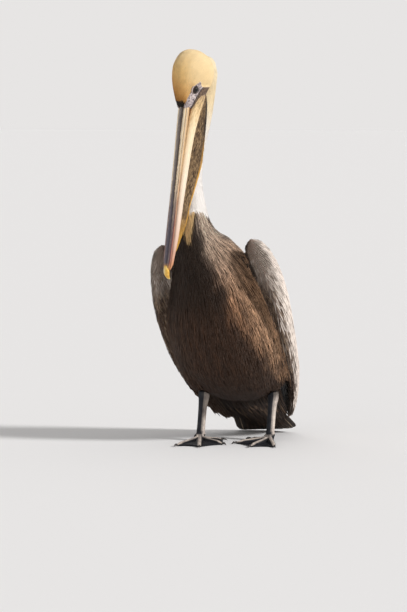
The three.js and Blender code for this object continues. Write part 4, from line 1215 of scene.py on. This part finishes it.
lines, ups, sides, halves = [], [], [], []
for i in range(TAIL["count"]):
    share = 2 * i / (TAIL["count"] - 1) - 1
    root, tip = Vector(TAIL["root"]), Vector(TAIL["tip"])
    uneven_length, uneven_angle = TAIL["uneven"]
    reach = (tip - root) * (1 - TAIL["shorter"] * share ** 2 - rng.uniform(0, uneven_length))
    fanned = -math.radians(TAIL["spread"]) * (share + rng.uniform(-uneven_angle, uneven_angle))
    reach.rotate(Matrix.Rotation(fanned, 3, "Z"))
    part = 1 - 1.25 * np.linspace(1, 0, TAIL["rings"]) ** 1.8  # closer rings at the tip
    rise = np.interp(part, *TAIL["rise"]) - TAIL["lower"] * abs(share) + 0.4 * (share > 0)
    start = [root + Vector((share * TAIL["side"], 0, r)) for r in rise]
    line = np.array([leaned(*(s + reach * p)) for s, p in zip(start, part)])
    floor_gap = (TAIL["floor"][0] + TAIL["floor"][1] * (1 - abs(share))) * MM
    line[:, 2] = np.maximum(line[:, 2], floor_gap)
    path = unit(np.gradient(line, axis=0))
    wide = unit(np.array([1.0, 0, 0]) - path * path[:, :1])
    lines.append(line)
    ups.append(np.cross(wide, path))
    sides.append(wide)
    halves.append(np.interp(part, *TAIL["half"]) * MM)
tail = quills("tail_fan", lines, ups, sides, halves, 0.02)
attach(tail, "root")
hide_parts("tail")

# ---- Undertail coverts ------------------------------------------------------------------------------------
# Long loose dark feathers grow from the vent and the back of each thigh and hide the roots of the tail.

VENT = {"spacing": 4.2, "half": (1.4, 2.8), "dark": "#38281d", "rim": "#17100c", "pale": "#9c8066",
        "reach": (46, 78), "ends": (118, 182), "out": (0, -0.55, -0.83), "droop": 6, "pale_share": 0.14}
roots = scatter("trunk", VENT["spacing"], lambda p: (upright(p)[:, 1] > 52) & (upright(p)[:, 2] < 96))
x, y, z = upright(roots).T
far = np.clip(y + rng.uniform(*VENT["reach"], len(roots)), *VENT["ends"])
down = TAIL["root"][2] * (1 - (far - TAIL["root"][1]) / (TAIL["tip"][1] - TAIL["root"][1])) - 5
tips = np.array([leaned(*p) for p in zip(x * 0.86, far, np.minimum(down, z - 6))])
t = np.linspace(0, 1, 7)[:, None, None]
sag = np.array(VENT["out"]) * MM
line = roots[None] * (1 - t) + tips[None] * t + sag * VENT["droop"] * np.sin(t * math.pi)
way = unit(np.gradient(line, axis=0))
out = unit(np.broadcast_to(np.array(VENT["out"]), line.shape) + np.array([0.012, 0, 0]) * x[None, :, None])
out = unit(out - way * (way * out).sum(2)[..., None])
half = rng.uniform(*VENT["half"], len(roots)) * MM
pale = rng.random(len(roots)) < VENT["pale_share"]
centre = varied(towards(VENT["dark"], VENT["pale"], 0.14 * pale), 0.25)
rim = varied(towards(VENT["rim"], VENT["pale"], 0.6 * pale), 0.2)
vent = vanes("undertail_coverts", line, out, np.cross(way, out), leaf(7, 0.4, 0.5)[:, None] * half[None],
             0.3 * MM, centre, rim, np.stack([0.5 + x / 400, 0.5 + y / 400], 1))
vent.data.materials.append(body_finish)
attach(vent, "root")

# ---- Legs and webbed feet ---------------------------------------------------------------------------------
# Short stout shanks and four webbed toes a side, in dark slate skin: small net scales all over, broad cross
# plates down the toes, where the skin is paler, and up the bird's left side of each shank, where their pale
# is painted light. The webs are blackish.

ANKLE = {"left": (53, 44), "right": (-71, 4)}
FOOT_HEADING = {"left": -2, "right": 20}
TOE_ANGLE = {"hallux": 98, "inner": 36, "middle": 0, "outer": -27}
TOE_REACH = {"hallux": 44, "inner": 76, "middle": 100, "outer": 95}
leg_nodes = [part + "_" + hand for hand in ("left", "right") for part in ("tarsus", "foot")]
# Round each ankle: how far to the left, back and up, and the radius.
KNOBS = [(1, 3, 13, 8.6), (0, 0, 9, 8.2), (0, 8, 10, 7.0), (-4, -3, 8, 6.5), (4, -4, 8, 6.5)]
PLATE = {"apart": 3.4, "half": 4.6, "relief": 0.55}  # the cross plates, in millimetres
SHANK_FOOT = (10, 16)  # the shank begins between these heights
NET, LEG_CLOUD = 2.08, 14.3  # the net scales and the patches, in millimetres


def toes():
    """Each toe: its side of the bird and name, the ankle's place, the way it points and its length."""
    for hand, ankle in ANKLE.items():
        inward = -1 if hand == "left" else 1
        for toe, reach in TOE_REACH.items():
            heading = math.radians(FOOT_HEADING[hand] + inward * TOE_ANGLE[toe])
            yield hand, toe, np.array(ankle), np.array([math.sin(heading), -math.cos(heading)]), reach


leg_mesh = moulded("legs", leg_nodes, 0.35, 1.0, 5,
                   [(place(ax + x, ay + y, z), r) for ax, ay in ANKLE.values() for x, y, z, r in KNOBS])
leg_at = corners_of(leg_mesh)
flat = (leg_at - np.array(ORIGIN)) / MM
near_toe, along_toe = np.full(len(flat), 99.0), np.zeros(len(flat))
for _, _, ankle, way, reach in toes():
    off = flat[:, :2] - ankle
    run = np.clip(off @ way, -4, reach)
    gap = np.linalg.norm(off - run[:, None] * way, axis=1)
    closer = gap < near_toe
    near_toe, along_toe = np.where(closer, gap, near_toe), np.where(closer, run, along_toe)
shank = ease(flat[:, 2], *SHANK_FOOT)
along_toe = along_toe * (1 - shank) + flat[:, 2] * shank
plates = np.clip(1 - near_toe / PLATE["half"], 0, 1) * (1 - shank) + 0.8 * shank
normals = corners_of(leg_mesh, "normal")
# Painted light: the shank's plates are paler only on the bird's left side, the side the key lamp lights.
painted_light_side = np.maximum(0, 0.97 * normals[:, 0] - 0.24 * normals[:, 1]) ** 3  # the bird's left of each shank
facing = np.maximum(0, normals[:, 2]) * (1 - shank) + painted_light_side * shank
scutes = np.abs(np.sin(along_toe * math.pi / PLATE["apart"])) ** 0.5 - 0.7
raised = plates * facing * (PLATE["relief"] * scutes + 0.2)
leg_at = leg_at + normals * (raised * MM)[:, None]
leg_at[:, 2] = np.maximum(leg_at[:, 2], 0.05 * MM)
leg_mesh.vertices.foreach_set("co", leg_at.astype(np.float32).ravel())
mark(leg_mesh, {"plates": plates * np.clip(facing * 1.4, 0, 1) * (1 - 0.3 * shank), "shank": shank})
legs = smooth_piece("legs_and_feet", leg_mesh)
# Scaled skin is dry and matt, with a fine net of seams that catches a little light.
leg_finish, tree, shader = finish_of("scaled_leg_skin", 0.6, Specular_IOR_Level=0.15)
plates_of, shank_of = marks_on(tree, "plates", "shank")
cells = add(tree, "TexVoronoi", {"feature": "DISTANCE_TO_EDGE"}, {"Scale": 1 / (NET * MM)})
cloud = add(tree, "TexNoise", links={"Scale": 1 / (LEG_CLOUD * MM), "Detail": 5.0})
web = add(tree, "ValToRGB", links={0: cloud}, stops=[
    (0.35, "#121317"), (0.55, "#1b1c21"), (0.72, "#2e2d32")])
horny = add(tree, "ValToRGB", links={0: cloud}, stops=[
    (0.3, "#9a918c"), (0.5, "#cbbdb2"), (0.7, "#e9dacb")])
grey = add(tree, "ValToRGB", links={0: cloud}, stops=[
    (0.3, "#1d1f24"), (0.55, "#323338"), (0.75, "#565350")])
ground = add(tree, "Mix", BLEND, {0: shank_of, 6: web, 7: grey})
pale_by = add(tree, "MapRange", links={0: plates_of, 1: 0.12, 2: 0.55, 3: 0.0, 4: 0.9})
ground = add(tree, "Mix", BLEND, {0: pale_by, 6: ground, 7: horny})
seam = add(tree, "MapRange", links={0: cells, 1: 0.0, 2: 0.12, 3: 0.5, 4: 1.05})
ground = add(tree, "Mix", TIMES, {0: 0.85, 6: ground, 7: seam})
dress(tree, shader, ground, cells, 0.6, 0.8)
leg_mesh.materials.append(leg_finish)
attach(legs, "root")
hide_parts(*leg_nodes)

# ---- Claws ------------------------------------------------------------------------------------------------
# Short hooked claws of dark worn horn, one at the end of each toe.

CLAW_PATH = [(-5, 3.0), (-1, 3.7), (2, 3.7), (4.4, 2.9), (6.6, 1.6), (7.6, 0.5)]  # past the toe's end, up
CLAW_HALF = np.array([1.5, 2.2, 2.0, 1.5, 0.9, 0.25])
CLAW_NARROW = 0.8  # narrower than it is high
CLAW_CLOUD = 3.33  # the worn patches, in millimetres
# Worn horn is hard and half glossy, nearly black with grey scuffs.
claw_finish, tree, shader = finish_of("claw_horn", 0.38, Specular_IOR_Level=0.5, Coat_Weight=0.15)
cloud = add(tree, "TexNoise", links={"Scale": 1 / (CLAW_CLOUD * MM), "Detail": 3.0})
dark = add(tree, "ValToRGB", links={0: cloud}, stops=[(0.3, "#151317"), (0.7, "#4a423e")])
dress(tree, shader, dark, cloud, 0.3, 0.2)
for hand, toe, ankle, way, reach in toes():
    path = np.array([place(*(ankle + way * (reach + on)), z) for on, z in CLAW_PATH])
    claw = swept("nail_" + hand + "_" + toe, path, CLAW_HALF * CLAW_NARROW * MM, CLAW_HALF * MM, 14, 16)
    claw.data.materials.append(claw_finish)
    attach(claw, "root")
    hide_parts("claw_" + hand + "_" + toe)

# ---- Colour of the skin -----------------------------------------------------------------------------------
# Down to the skin the coat keeps its markings, painted darker as painted shade in the gaps between feathers.
# The bare face is mottled grey and pink, with painted shade along the gape.

GAPE = ([-40, -34, -14, 0, 6], [-15, -11, -4, -2.5, -2])  # where the shut mandibles meet: ahead, up
FACE_PATCH, PORE = 3.33, 1.11  # millimetres; the pores are coarser than real ones so that they show
ground = np.zeros((len(skin_at), 3))
# Each part's rim colour, darkened by the third number as painted shade in the gaps between the feathers.
for kin, colours, deep in (("trunk", body_colours, 0.8), ("head", head_colours, 0.9),
                           ("neck", head_colours, 0.9)):
    mine = skin_kin == KINDS.index(kin)
    ground[mine] = colours(skin_at[mine])[1] * deep
for hand in ("left", "right"):
    ground[skin_kin == KINDS.index("wing_" + hand)] = tone(WING["silver_rim"])[:3]
bare = bare_face(skin_at) * (skin_kin == KINDS.index("head"))
ahead, _, up = head_measure(skin_at).T
over = up - np.interp(ahead, *GAPE)
# Below the gape the face skin is darker brown, and along the gape runs a near black line, painted shade in
# the crease where the mandibles meet.
jaw_skin, painted_gape_shade = bare * (1 - ease(over, -0.6, 0.8)), bare * np.exp(-((over - 0.6) / 1.2) ** 2)
paint(skin_mesh, "ground", ground)
mark(skin_mesh, {"bare": bare, "jaw": jaw_skin, "gape": painted_gape_shade})
# Bare skin is matt and finely pitted, and its colour comes through in patches.
skin_finish, tree, shader = finish_of("bird_skin", 0.6, Specular_IOR_Level=0.35)
ground_of = add(tree, "Attribute", {"attribute_name": "ground"})
bare_of, jaw_of, painted_gape_shade_of = marks_on(tree, "bare", "jaw", "gape")
mottle = add(tree, "TexNoise", links={"Scale": 1 / (FACE_PATCH * MM), "Detail": 4.0, "Roughness": 0.6})
pores = add(tree, "TexVoronoi", links={"Scale": 1 / (PORE * MM)})
flesh = add(tree, "ValToRGB", links={0: mottle}, stops=[
    (0.34, "#3f383c"), (0.43, "#8f8283"), (0.52, "#bfb0ad"), (0.68, "#e0d2cb")])
jaw = add(tree, "ValToRGB", links={0: mottle}, stops=[(0.4, "#3b2c22"), (0.6, "#7a6350")])
flesh = add(tree, "Mix", BLEND, {0: jaw_of, 6: flesh, 7: jaw})
# Painted shade along the gape.
flesh = add(tree, "Mix", BLEND, {0: painted_gape_shade_of, 6: flesh, 7: tone("#1d1412")})
whole = add(tree, "Mix", BLEND, {0: bare_of, 6: ground_of, 7: flesh})
dress(tree, shader, whole, pores, 0.5, 0.4)
skin_mesh.materials.append(skin_finish)
